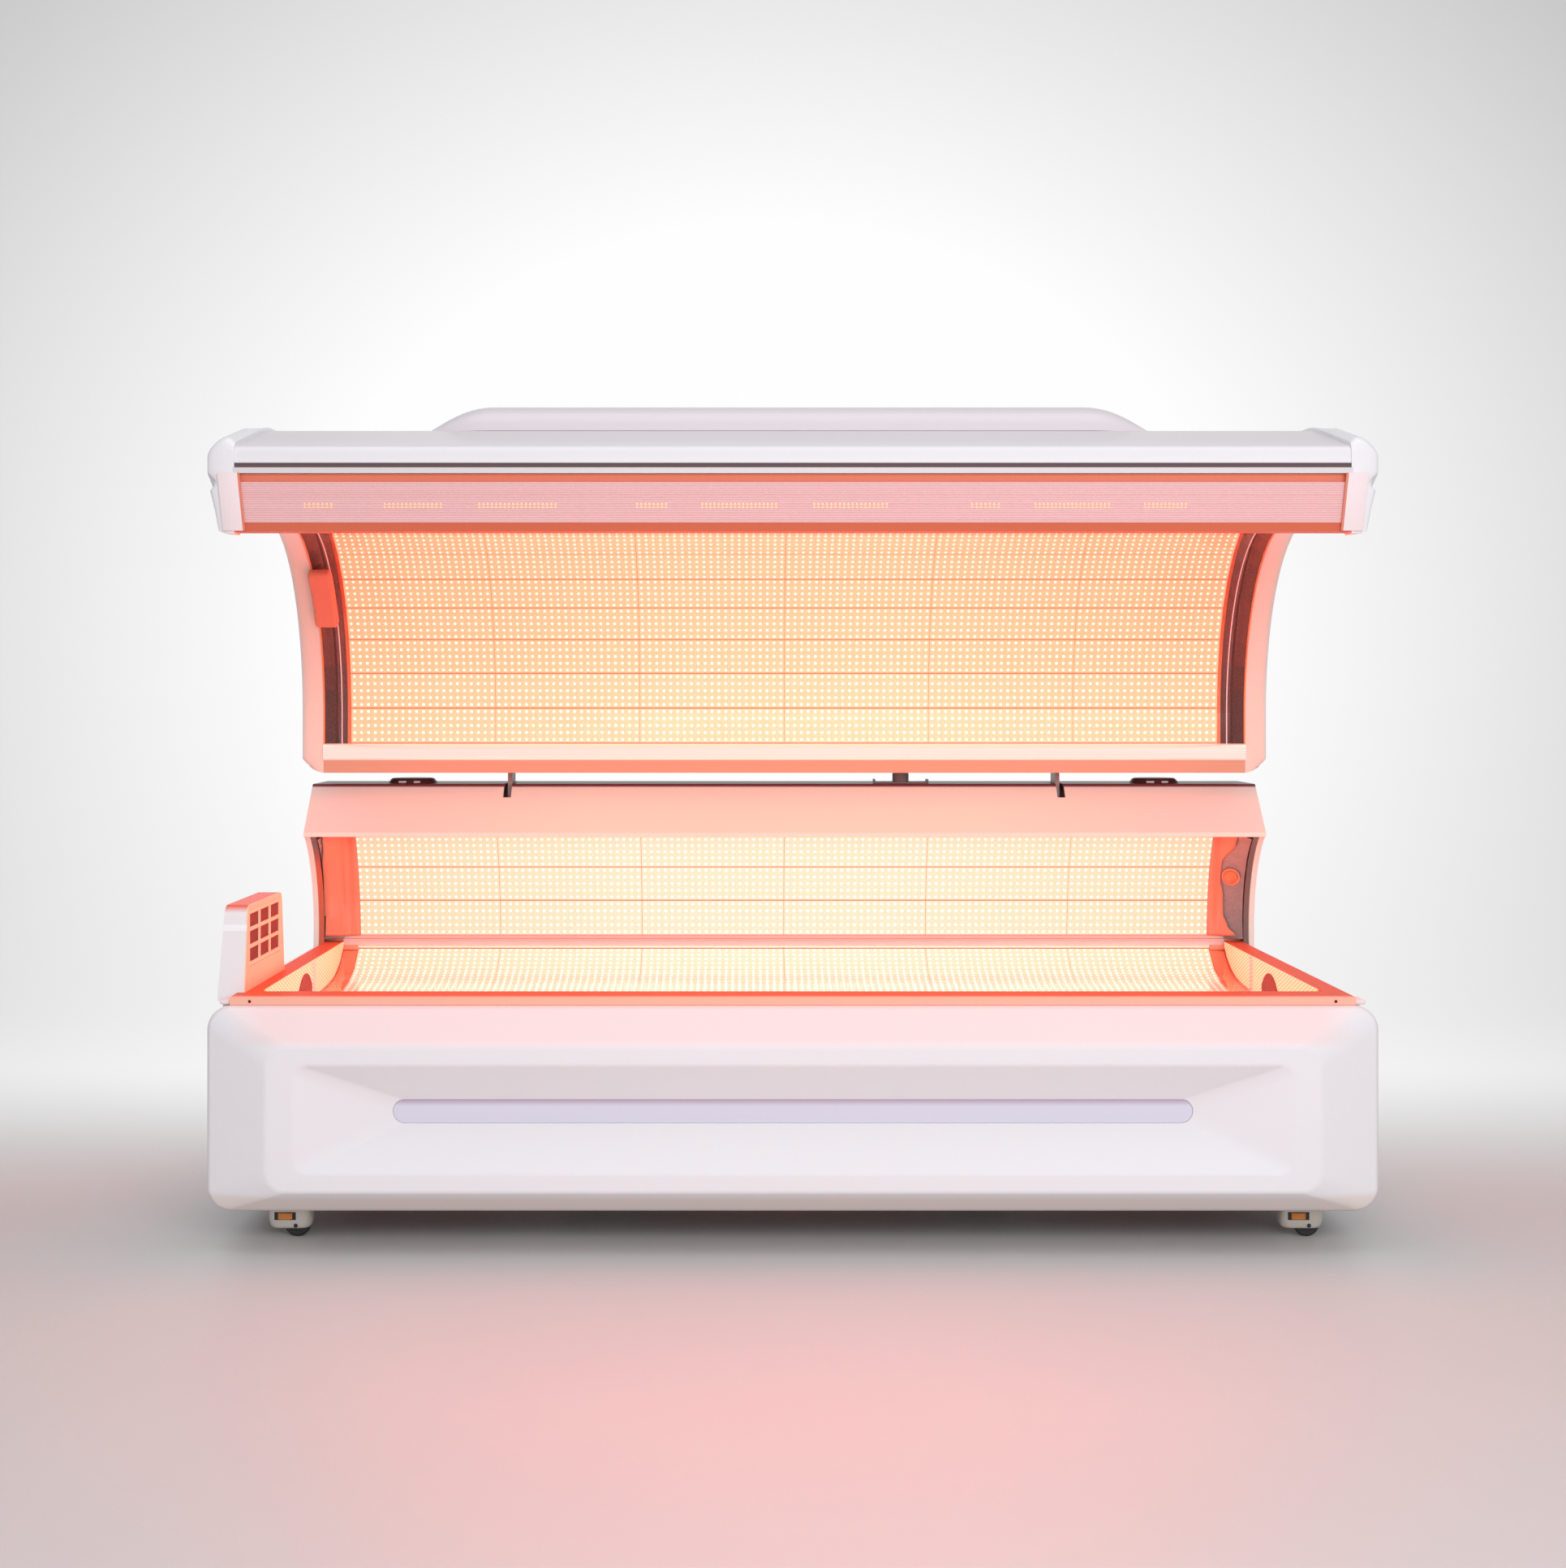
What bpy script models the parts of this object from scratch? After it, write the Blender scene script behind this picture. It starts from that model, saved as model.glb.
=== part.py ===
"""A red light therapy bed: a base with LED boards under acrylic, and an LED canopy hinged behind it.

Metres, with X along the bed, Y from front to back and Z up. The origin is on the floor under the middle.
Side sections are drawn as (depth, height), where depth runs back from the front panel's outer edge.
"""

import math

import bmesh
import bpy
from mathutils import Matrix, Vector

# Overall sizes
BED_LENGTH = 2.20
BASE_DEPTH = 1.20
PANEL_HEIGHT = 0.385

# Fits
FIT = 0.0003
RUNNING_GAP = 0.0005
CUT_OVERRUN = 0.02

# Castors, stacked from the floor up to the chassis
WHEEL_RADIUS = 0.025
WHEEL_WIDTH = 0.020
WHEEL_EDGE = 0.004
WHEEL_TRAIL = 0.020
WHEEL_CLEARANCE = 0.002
AXLE_RADIUS = 0.004
DIAL_RADIUS = 0.022
DIAL_HEIGHT = 0.011
DIAL_POST_RADIUS = 0.006
DIAL_WINDOW = 0.036
HOOD_FRONT = 0.034
HOOD_WIDTH = 0.056
HOOD_ROUND = 0.010
HOOD_ROOF = 0.009
HOOD_LIFT = 0.019
HOOD_SIDE_CLEARANCE = 0.003
SWIVEL_PLATE_RADIUS = 0.026
SWIVEL_PLATE_HEIGHT = 0.005
CASTOR_INSET = 0.13
CASTOR_FRONT = 0.120
CASTOR_REAR = 0.120

# Front moulding
PANEL_WALL = 0.005
PANEL_RETURN = 0.090
PANEL_CORNER = 0.045
PANEL_SOFTNESS = 0.008
FRAME_PROUD = 0.050
FRAME_END_MARGIN = 0.120
FRAME_BOTTOM_MARGIN = 0.0455
FRAME_TOP_MARGIN = 0.069
FRAME_CORNER = 0.038
FRAME_LAND_END = 0.050
FRAME_LAND_EDGE = 0.034
RECESS_CORNER = 0.026
SLOT_END_MARGIN = 0.350
SLOT_HEIGHT = 0.044
SLOT_RISE = 0.188
SLOT_DEPTH = 0.012
LIGHT_BAR_SET_BACK = 0.003
LIGHT_BAR_THICKNESS = 0.022

# Chassis
CHASSIS_HEIGHT = 0.040
CHASSIS_RAIL = 0.100
CHASSIS_WALL = 0.004
CROSS_MEMBER_INSET = 0.740
RIB_THICKNESS = 0.003

# End panels, rear cover and rim
END_STEP = 0.010
END_WALL = 0.012
END_CORNER = 0.030
REAR_WALL = 0.006
RIM_THICKNESS = 0.0147
RIM_FRONT = 0.015
RIM_WIDTH = 0.040
RIM_LIP = 0.015
END_WALL_THICKNESS = 0.006
END_WALL_DROP = 0.085

# Bed acrylic and boards
BED_SAG = 0.070
BED_FRONT_DROP = 0.022
BED_ACRYLIC = 0.008
BOARD = 0.003
BOARD_GAP = 0.014
TRAY_LIP = 0.006
TRAY_TRIM = 0.012
SEAM_SET_BACK = 0.170
SEAM_RISE = 0.0145
SEAM_RAIL_DEPTH = 0.018
SEAM_RAIL_HEIGHT = 0.018
SEAM_RAIL_PROUD = 0.006
SEAM_RAIL_GAP = 0.003

# Rear wall, visor and cheeks
CHEEK_STEP = 0.015
CHEEK_THICKNESS = 0.025
CHEEK_FOOT = 0.190
CHEEK_SAG = 0.045
REFLECTOR_WIDTH = 0.060
REFLECTOR_SHEET = 0.002
REAR_WALL_RISE = 0.259
VISOR_REACH = 0.310
VISOR_TOP_REACH = 0.195
VISOR_RISE = 0.106
VISOR_WALL = 0.006
VISOR_BEND = 0.012
REAR_BOARD_SAG = 0.025
REAR_BOARD_TOP = 0.043
VENT_SLOT_COUNT = 8
VENT_SLOT_LENGTH = 0.160
VENT_SLOT_HEIGHT = 0.008
VENT_SLOT_PITCH = 0.020
VENT_GROUP_INSET = 0.500
VENT_GROUP_RISE = 0.200
VENT_CAP_RADIUS = 0.058
VENT_CAP_HEIGHT = 0.011
VENT_CAP_EDGE = 0.004
VENT_CAP_INSET = 0.234
VENT_CAP_DEPTH = 0.110

# Hinge
HINGE_DEPTH = 0.140
HINGE_DROP = 0.082
HINGE_RAISE = 0.1095
ARM_INSET = 0.465
ARM_THICKNESS = 0.010
ARM_EYE = 0.022
ARM_FRONT = 0.012
ARM_REAR = 0.068
ARM_SLOT_CLEARANCE = 0.004
ARM_SLOT_DROP = 0.030
PIN_RADIUS = 0.006
BRACKET_CHEEK = 0.006
BRACKET_DEPTH = 0.050
BRACKET_FOOT = 0.008
BRACKET_DROP = 0.065
BRACKET_CROWN = 0.020
DRUM_RADIUS = 0.024
DRUM_LENGTH = 0.100
SPOUT_OFFSET = 0.272
SPOUT_RADIUS = 0.019
SPOUT_RISE = 0.023
SPOUT_FLANGE_LENGTH = 0.126
SPOUT_FLANGE_DEPTH = 0.060
SPOUT_FLANGE_WALL = 0.003
SPOUT_FLANGE_TURN_UP = 0.006

# Canopy, measured up from its lower edge and back from the front panel's outer edge
CAP_INSET = 0.050
CAP_PROUD = 0.004
CAP_WALL = 0.006
CAP_FACE = 0.014
CAP_EDGE = 0.014
CAP_CROWN_SHARE = 0.55
CAP_GROOVE = 0.012
CAP_GROOVE_LENGTH = 0.300
ARCH_REACH = 0.115
ARCH_LEAN = 0.005
ARCH_ROOF = 0.5455
ARCH_ROOF_FALL = 0.015
ARCH_RADIUS = 0.400
LIP_RISE = 0.4825
LIP_DEPTH = 0.050
LIP_WALL = 0.003
LIP_FOOT = 0.017
RIB_BAND = 0.076
RIB_COUNT = 12
RIB_PROUD = 0.002
RIB_SLOPE_SHARE = 0.2
RIB_FLAT_SHARE = 0.4
LIP_RECESS_HEIGHT = 0.016
LIP_RECESS_DEPTH = 0.008
TRIM_HEIGHT = 0.0107
TRIM_PROUD = 0.004
TRIM_FLANGE = 0.020
TRIM_DEPTH = 0.040
GROOVE_HEIGHT = 0.009
SHELL_WALL = 0.004
SHELL_REAR_REACH = 0.080
SHELL_ROOF = 0.7275
SHELL_RADIUS = 0.460
SHELL_SHOULDER_DEPTH = 0.300
SHELL_SHOULDER_FALL = 0.020
SHELL_SHOULDER_RADIUS = 0.500
SHELL_BROW_FALL = 0.085
SHELL_BROW_RADIUS = 0.018
LOWER_RAIL_HEIGHT = 0.050
LOWER_RAIL_DEPTH = 0.047
LOWER_RAIL_WALL = 0.003
BOARD_SET_BACK = 0.035
CANOPY_ACRYLIC_SET_BACK = 0.015
CANOPY_ACRYLIC = 0.005
CANOPY_ACRYLIC_GAP = 0.003
COVER_INSET = 0.365
COVER_HALF_DEPTH = 0.180
COVER_MIDDLE = 0.500
COVER_HEIGHT = 0.050
COVER_CORNER = 0.090
COVER_END_SLOPE = 0.110
COVER_SIDE_SLOPE = 0.070
COVER_SKIRT = 0.008
COVER_WALL = 0.004
COVER_SOFTNESS = 0.030
COVER_CROWN_LENGTH_SHARE = 0.5
COVER_CROWN_DEPTH_SHARE = 0.25
GRAB_START = 0.330
GRAB_END = 0.460
GRAB_THICKNESS = 0.022
GRAB_WIDTH = 0.052
GRAB_OVERLAP = 0.006
GRAB_ROUND = 0.007

# Fan tower at the head end
TOWER_FRONT = 0.080
TOWER_LENGTH = 0.390
TOWER_RISE = 0.164
TOWER_OUTER_STEP = 0.003
TOWER_THICKNESS = 0.052
TOWER_WALL = 0.010
TOWER_TAPER = 0.030
TOWER_FLARE = 0.008
TOWER_ROUND = 0.024
TOWER_FLOOR = 0.045
GRILLE_THICKNESS = 0.004
GRILLE_MARGIN_LENGTH = 0.020
GRILLE_MARGIN_HEIGHT = 0.016
GRILLE_COUNT = 3
GRILLE_BAR = 0.012
FAN_RADIUS = 0.046
FAN_HUB_RADIUS = 0.018
FAN_HUB_LENGTH = 0.020
FAN_BLADES = 5
FAN_BLADE_CHORD = 0.030
FAN_BLADE_THICKNESS = 0.002
FAN_BLADE_PITCH = math.radians(35)
FAN_POST_RADIUS = 0.005
FAN_STAND_OFF = 0.006

# Stop button on the right polished strip
BUTTON_RISE = 0.160
BUTTON_SHARE = 0.5
BUTTON_RADIUS = 0.016
BUTTON_HEIGHT = 0.016
BUTTON_TRAVEL = 0.005
BEZEL_RADIUS = 0.021
BEZEL_HEIGHT = 0.006
BEZEL_LENGTH = 0.024
BEZEL_BODY_RADIUS = 0.018
BEZEL_SILL = 0.002

# Electrics inside the base
DRIVER_SIZE = (0.220, 0.120, 0.055)
CONTROL_BOX_SIZE = (0.200, 0.085, 0.050)
CONTROL_BOX_INSET = 0.350
INLET_SIZE = (0.050, 0.030)
INLET_FLANGE = 0.006
INLET_PROUD = 0.003
INLET_BODY = 0.022
INLET_INSET = 0.300
INLET_RISE = 0.100

# Facets
MERGE_DISTANCE = 1e-6
SMOOTH_ANGLE = math.radians(30)
ROUNDING_ANGLE = math.radians(50)
ARC_STEPS = 12
CORNER_STEPS = 5
BEND_STEPS = 3
CAP_STEPS = 4
ROUND_STEPS = 20
BED_STEPS = 20

# Lengths worked out along X
HALF_LENGTH = BED_LENGTH / 2
END_HALF = HALF_LENGTH - END_STEP
CHEEK_OUTER = HALF_LENGTH - CHEEK_STEP
CHEEK_INNER = CHEEK_OUTER - CHEEK_THICKNESS
RIM_HALF = CHEEK_INNER - FIT
BED_HALF = RIM_HALF - RIM_WIDTH
BOARD_HALF = CHEEK_INNER - REFLECTOR_WIDTH
CHASSIS_HALF = END_HALF - END_WALL - FIT
CASTOR_OFFSET = HALF_LENGTH - CASTOR_INSET
SLOT_HALF = HALF_LENGTH - SLOT_END_MARGIN
CROSS_MEMBER_OFFSET = HALF_LENGTH - CROSS_MEMBER_INSET
VENT_GROUP_OFFSET = HALF_LENGTH - VENT_GROUP_INSET
VENT_CAP_OFFSET = HALF_LENGTH - VENT_CAP_INSET
ARM_OFFSET = HALF_LENGTH - ARM_INSET
COVER_HALF_LENGTH = HALF_LENGTH - COVER_INSET
CONTROL_BOX_OFFSET = HALF_LENGTH - CONTROL_BOX_INSET
INLET_OFFSET = HALF_LENGTH - INLET_INSET
CAP_INNER = HALF_LENGTH - CAP_INSET
CANOPY_HALF = CAP_INNER - FIT
SIDES = (("left", -1), ("right", 1))

# Heights worked out from the floor up
DIAL_BOTTOM = 2 * WHEEL_RADIUS + WHEEL_CLEARANCE
DIAL_TOP = DIAL_BOTTOM + DIAL_HEIGHT
HOOD_TOP = DIAL_TOP + HOOD_ROOF
CASTOR_TOP = HOOD_TOP + SWIVEL_PLATE_HEIGHT
CHASSIS_BOTTOM = CASTOR_TOP + FIT
CHASSIS_TOP = CHASSIS_BOTTOM + CHASSIS_HEIGHT
BASE_BOTTOM = CHASSIS_BOTTOM - FIT - PANEL_WALL
PANEL_TOP = BASE_BOTTOM + PANEL_HEIGHT
RIM_BOTTOM = PANEL_TOP + FIT
RIM_TOP = RIM_BOTTOM + RIM_THICKNESS
SEAM_HEIGHT = PANEL_TOP + SEAM_RISE
VISOR_BOTTOM = RIM_TOP + REAR_WALL_RISE
VISOR_TOP = VISOR_BOTTOM + VISOR_RISE
HINGE_HEIGHT = VISOR_TOP - HINGE_DROP
CANOPY_BOTTOM = HINGE_HEIGHT + HINGE_RAISE
RAIL_TOP = CANOPY_BOTTOM + LOWER_RAIL_HEIGHT
BOARD_LEAN = ARCH_LEAN / (ARCH_ROOF - LOWER_RAIL_HEIGHT)
RAIL_SEAT = RAIL_TOP + FIT + (BOARD_SET_BACK + BOARD) * BOARD_LEAN
LIP_BOTTOM = CANOPY_BOTTOM + LIP_RISE
RIB_BAND_BOTTOM = LIP_BOTTOM + LIP_FOOT
RIB_BAND_TOP = RIB_BAND_BOTTOM + RIB_BAND
LIP_TOP = RIB_BAND_TOP + LIP_RECESS_HEIGHT
TRIM_BOTTOM = LIP_TOP + FIT
TRIM_TOP = TRIM_BOTTOM + TRIM_HEIGHT
SHELL_FRONT_EDGE = TRIM_TOP + GROOVE_HEIGHT
SHELL_TOP = CANOPY_BOTTOM + SHELL_ROOF

# Depths worked out from the front and the rear face
ORIGIN_DEPTH = (BASE_DEPTH - FRAME_PROUD) / 2
REAR_INNER = BASE_DEPTH - REAR_WALL
RIM_BACK_LIP = PANEL_RETURN + FIT
BED_FRONT = RIM_BACK_LIP + RIM_LIP
CHASSIS_FRONT = PANEL_RETURN + FIT
SEAM_DEPTH = BASE_DEPTH - SEAM_SET_BACK
SEAM_RAIL_FRONT = SEAM_DEPTH + SEAM_RAIL_GAP
REAR_BOARD_DEPTH = SEAM_RAIL_FRONT + SEAM_RAIL_DEPTH / 2
VISOR_FRONT = BASE_DEPTH - VISOR_REACH
VISOR_TOP_FRONT = BASE_DEPTH - VISOR_TOP_REACH
PIVOT_DEPTH = BASE_DEPTH - HINGE_DEPTH
ARCH_WALL = PIVOT_DEPTH - ARCH_REACH
SHELL_REAR = PIVOT_DEPTH + SHELL_REAR_REACH
SHELL_INNER_REAR = SHELL_REAR - SHELL_WALL - FIT
GRILLE_DEPTH = TOWER_FRONT + TOWER_LENGTH / 2

# Finishes as colour, roughness and metallic value
WHITE = ((0.82, 0.79, 0.83), 0.25, 0.0)
BLUSH = ((0.86, 0.60, 0.57), 0.30, 0.0)
CORAL = ((0.80, 0.30, 0.20), 0.35, 0.0)
BOARD_CREAM = ((0.95, 0.78, 0.58), 0.45, 0.0)
CLEAR = ((0.97, 0.93, 0.92), 0.05, 0.0)
DIFFUSER = ((0.72, 0.69, 0.80), 0.30, 0.0)
ALUMINIUM = ((0.78, 0.66, 0.66), 0.35, 1.0)
MIRROR = ((0.40, 0.28, 0.26), 0.12, 1.0)
STEEL = ((0.30, 0.30, 0.32), 0.45, 1.0)
HOOD_GREY = ((0.58, 0.55, 0.50), 0.35, 0.6)
BLACK = ((0.02, 0.02, 0.02), 0.50, 0.0)
ORANGE = ((0.75, 0.27, 0.05), 0.40, 0.0)


# Scene and materials


def clear_scene():
    for item in list(bpy.data.objects):
        bpy.data.objects.remove(item)


def new_collection(name):
    collection = bpy.data.collections.new(name)
    bpy.context.scene.collection.children.link(collection)
    return collection


clear_scene()
PARTS = new_collection("red_light_therapy_bed")
CUTTERS = new_collection("cutters")


def paint(solid, finish):
    """Give a solid its own Principled material and smooth shading over its shallow edges."""
    colour, roughness, metallic = finish
    material = bpy.data.materials.new(solid.name)
    material.use_nodes = True
    shader = material.node_tree.nodes["Principled BSDF"]
    shader.inputs["Base Color"].default_value = (*colour, 1.0)
    shader.inputs["Roughness"].default_value = roughness
    shader.inputs["Metallic"].default_value = metallic
    shader.inputs["Transmission Weight"].default_value = 1.0 if finish is CLEAR else 0.0
    solid.data.materials.append(material)
    solid.data.shade_smooth()
    solid.data.set_sharp_from_angle(angle=SMOOTH_ANGLE)
    return solid


def place(name, mesh, location=(0, 0, 0), rotation=(0, 0, 0)):
    solid = bpy.data.objects.new(name, mesh)
    solid.location = location
    solid.rotation_euler = rotation
    PARTS.objects.link(solid)
    return solid


def attach(child, parent):
    """Parent a solid to an unturned empty or piece and leave it where it is."""
    child.parent = parent
    child.matrix_parent_inverse = Matrix.Translation(parent.location).inverted()
    return child


def pivot(name, location):
    empty = bpy.data.objects.new(name, None)
    empty.location = location
    PARTS.objects.link(empty)
    return empty


# Flat paths


def right_of(direction):
    return Vector((direction.y, -direction.x))


def arc(start, end, sag, steps, trim=0.0):
    """Points of the arc from start to end that bows sag to its right, shortened at each end by trim."""
    start = Vector(start)
    end = Vector(end)
    chord = (end - start).length
    radius = (chord * chord / 4 + sag * sag) / (2 * sag)
    half_angle = math.asin(chord / 2 / radius)
    along = (end - start).normalized()
    out = right_of(along)
    centre = (start + end) / 2 + out * (sag - radius)
    reach = half_angle - trim / radius
    angles = [reach * (2 * step / steps - 1) for step in range(steps + 1)]
    return [centre + radius * (along * math.sin(turn) + out * math.cos(turn)) for turn in angles]


def rounded(corners, steps, closed=False):
    """A path through (across, up, radius) corners, each with a radius turned into an arc."""
    path = []
    for index, (across, up, radius) in enumerate(corners):
        corner = Vector((across, up))
        ends = index in (0, len(corners) - 1) and not closed
        if ends or radius == 0:
            path.append(corner)
            continue
        before = (Vector(corners[index - 1][:2]) - corner).normalized()
        after = (Vector(corners[(index + 1) % len(corners)][:2]) - corner).normalized()
        half = before.angle(after) / 2
        centre = corner + (before + after).normalized() * (radius / math.sin(half))
        spoke = corner + before * (radius / math.tan(half)) - centre
        turn = spoke.angle_signed(corner + after * (radius / math.tan(half)) - centre)
        for step in range(steps + 1):
            swing = Matrix.Rotation(-turn * step / steps, 2)
            path.append(centre + swing @ spoke)
    return path


def offset(path, distance, closed=False):
    """The path moved to its right, mitred at its corners."""
    moved = []
    last = len(path) - 1
    for index, point in enumerate(path):
        before = path[index - 1] if index or closed else None
        after = path[(index + 1) % len(path)] if index < last or closed else None
        arriving = (point - before).normalized() if before else (after - point).normalized()
        leaving = (after - point).normalized() if after else arriving
        normal = right_of(arriving)
        mitre = (normal + right_of(leaving)).normalized()
        moved.append(point + mitre * (distance / mitre.dot(normal)))
    return moved


def band(path, near, far):
    """The closed outline between two offsets of a path."""
    return offset(path, near) + offset(path, far)[::-1]


def rectangle(left, right, low, high, radius=0.0, steps=CORNER_STEPS):
    corners = [(left, low, radius), (right, low, radius), (right, high, radius), (left, high, radius)]
    return rounded(corners, steps, closed=True)


# Solids


def flat_solid(name, outlines, thickness):
    """A mesh of closed outlines, inner ones being holes, its thickness centred on its own XY plane."""
    curve = bpy.data.curves.new(name, "CURVE")
    curve.dimensions = "2D"
    curve.fill_mode = "BOTH"
    curve.extrude = thickness / 2
    for outline in outlines:
        spline = curve.splines.new("POLY")
        spline.points.add(len(outline) - 1)
        for point, (across, up) in zip(spline.points, outline):
            point.co = (across, up, 0, 1)
        spline.use_cyclic_u = True
    guide = bpy.data.objects.new(name, curve)
    PARTS.objects.link(guide)
    graph = bpy.context.evaluated_depsgraph_get()
    mesh = bpy.data.meshes.new_from_object(guide.evaluated_get(graph))
    bpy.data.objects.remove(guide)
    weld(mesh)
    return mesh


def weld(mesh):
    work = bmesh.new()
    work.from_mesh(mesh)
    bmesh.ops.remove_doubles(work, verts=work.verts, dist=MERGE_DISTANCE)
    bmesh.ops.recalc_face_normals(work, faces=work.faces)
    work.to_mesh(mesh)
    work.free()


def side_section(name, outlines, start, end):
    """Outlines in (depth, height) run along X between two places."""
    mesh = flat_solid(name, outlines, abs(end - start))
    turn = (math.pi / 2, 0, math.pi / 2)
    return place(name, mesh, ((start + end) / 2, -ORIGIN_DEPTH, 0), turn)


def plan_section(name, outlines, low, high):
    """Outlines in (x, depth) run up between two heights."""
    mesh = flat_solid(name, outlines, high - low)
    return place(name, mesh, (0, -ORIGIN_DEPTH, (low + high) / 2))


def front_section(name, outlines, near, far):
    """Outlines in (x, height) run back between two depths."""
    mesh = flat_solid(name, outlines, far - near)
    return place(name, mesh, (0, (near + far) / 2 - ORIGIN_DEPTH, 0), (math.pi / 2, 0, 0))


def block(name, low, high, round_edge=0.0):
    """A box between two (x, depth, height) corners."""
    low = Vector(low)
    high = Vector(high)
    work = bmesh.new()
    bmesh.ops.create_cube(work, size=1, matrix=Matrix.Diagonal((*(high - low), 1)))
    mesh = bpy.data.meshes.new(name)
    work.to_mesh(mesh)
    work.free()
    solid = place(name, mesh, (low + high) / 2 - Vector((0, ORIGIN_DEPTH, 0)))
    if round_edge:
        soften(solid, round_edge)
    return solid


def soften(solid, width, segments=2):
    bevel = solid.modifiers.new("rounded_edges", "BEVEL")
    bevel.width = width
    bevel.segments = segments
    bevel.limit_method = "ANGLE"
    bevel.angle_limit = ROUNDING_ANGLE


def turned(name, profile, centre, axis, closed=False):
    """A (radius, along) profile, listed down its outer side, turned about an axis through a centre."""
    mesh = bpy.data.meshes.new(name)
    links = [(step, step + 1) for step in range(len(profile) - 1)]
    if closed:
        links.append((len(profile) - 1, 0))
    mesh.from_pydata([(radius, 0, along) for radius, along in profile], links, [])
    x, depth, height = centre
    turn = Vector(axis).to_track_quat("Z", "Y").to_euler()
    solid = place(name, mesh, (x, depth - ORIGIN_DEPTH, height), turn)
    screw = solid.modifiers.new("turn", "SCREW")
    screw.steps = ROUND_STEPS
    screw.render_steps = ROUND_STEPS
    screw.use_merge_vertices = True
    screw.merge_threshold = MERGE_DISTANCE
    return solid


def rod(name, radius, start, end, centre, axis):
    """A plain cylinder between two places along an axis through a centre."""
    return turned(name, [(0, end), (radius, end), (radius, start), (0, start)], centre, axis)


def lofted(name, rings, capped):
    """A surface through rings of equal point counts, closed over both ends or left open."""
    mesh = bpy.data.meshes.new(name)
    work = bmesh.new()
    loops = [[work.verts.new(point) for point in ring] for ring in rings]
    count = len(rings[0])
    for low, high in zip(loops, loops[1:]):
        for spot in range(count):
            after = (spot + 1) % count
            work.faces.new((low[spot], low[after], high[after], high[spot]))
    if capped:
        work.faces.new(loops[0])
        work.faces.new(loops[-1])
    bmesh.ops.recalc_face_normals(work, faces=work.faces)
    work.to_mesh(mesh)
    work.free()
    return mesh


def blended(rings, reach):
    """Rings with each inner one replaced by three that round it off over a reach."""
    soft = [rings[0]]
    for before, ring, after in zip(rings, rings[1:], rings[2:]):
        arriving = [spot + (old - spot).normalized() * reach for spot, old in zip(ring, before)]
        leaving = [spot + (new - spot).normalized() * reach for spot, new in zip(ring, after)]
        middle = [(a + 2 * spot + b) / 4 for a, spot, b in zip(arriving, ring, leaving)]
        soft += [arriving, middle, leaving]
    return soft + [rings[-1]]


def thicken(solid, wall, inward):
    shell = solid.modifiers.new("wall", "SOLIDIFY")
    shell.thickness = wall
    shell.offset = -1 if inward else 1
    shell.use_even_offset = True


def boolean(solid, other, operation):
    """Cut another solid from this one, or join it on, and keep the other as a hidden helper."""
    step = solid.modifiers.new(other.name, "BOOLEAN")
    step.operation = operation
    step.object = other
    step.solver = "EXACT"
    PARTS.objects.unlink(other)
    CUTTERS.objects.link(other)
    other.hide_render = True
    other.display_type = "WIRE"


def cut(solid, *others):
    for other in others:
        boolean(solid, other, "DIFFERENCE")


def join(solid, *others):
    for other in others:
        boolean(solid, other, "UNION")


def baked(solid):
    """The mesh of a solid with its modifiers and its place worked out."""
    bpy.context.view_layer.update()
    graph = bpy.context.evaluated_depsgraph_get()
    mesh = bpy.data.meshes.new_from_object(solid.evaluated_get(graph))
    mesh.transform(solid.matrix_world)
    return mesh


# Section paths of the base and the canopy, drawn so that their right is the outside


def bed_path(trim=0.0):
    """Upper face of the bed acrylic, from the front rim back to the seam rail."""
    start = (BED_FRONT + FIT, RIM_TOP - BED_FRONT_DROP)
    return arc(start, (SEAM_DEPTH, SEAM_HEIGHT), BED_SAG, BED_STEPS, trim)


def visor_path():
    """Outer face of the visor, from its lower edge up the slope and back to the rear cover."""
    corners = [
        (VISOR_FRONT, VISOR_BOTTOM, 0),
        (VISOR_TOP_FRONT, VISOR_TOP, VISOR_BEND),
        (BASE_DEPTH, VISOR_TOP, 0),
    ]
    return rounded(corners, BEND_STEPS)


def rear_board_path():
    """Face of the rear boards, from the seam rail up to the inner face of the visor."""
    slope = Vector((VISOR_TOP_FRONT - VISOR_FRONT, VISOR_RISE)).normalized()
    inside = Vector((VISOR_FRONT, VISOR_BOTTOM)) + right_of(slope) * (VISOR_WALL + RUNNING_GAP)
    top = inside + slope * ((REAR_BOARD_TOP - inside.x + VISOR_FRONT) / slope.x)
    bottom = (REAR_BOARD_DEPTH, SEAM_HEIGHT + SEAM_RAIL_PROUD + FIT)
    return arc(bottom, top, REAR_BOARD_SAG, ARC_STEPS)


def cheek_edge(foot):
    """Concave front edge of a rear cheek, from a foot height up to the visor."""
    top = offset(visor_path(), VISOR_WALL + FIT)[0]
    return arc((BASE_DEPTH - CHEEK_FOOT, foot), top, CHEEK_SAG, ARC_STEPS)


def arch_path(bottom):
    """Inner edge of the canopy, from a height on its rear wall up and forward to the lip."""
    roof = CANOPY_BOTTOM + ARCH_ROOF
    corners = [
        (ARCH_WALL, bottom, 0),
        (ARCH_WALL + ARCH_LEAN, roof, ARCH_RADIUS),
        (LIP_DEPTH + FIT, roof - ARCH_ROOF_FALL, 0),
    ]
    return rounded(corners, ARC_STEPS)


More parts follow.
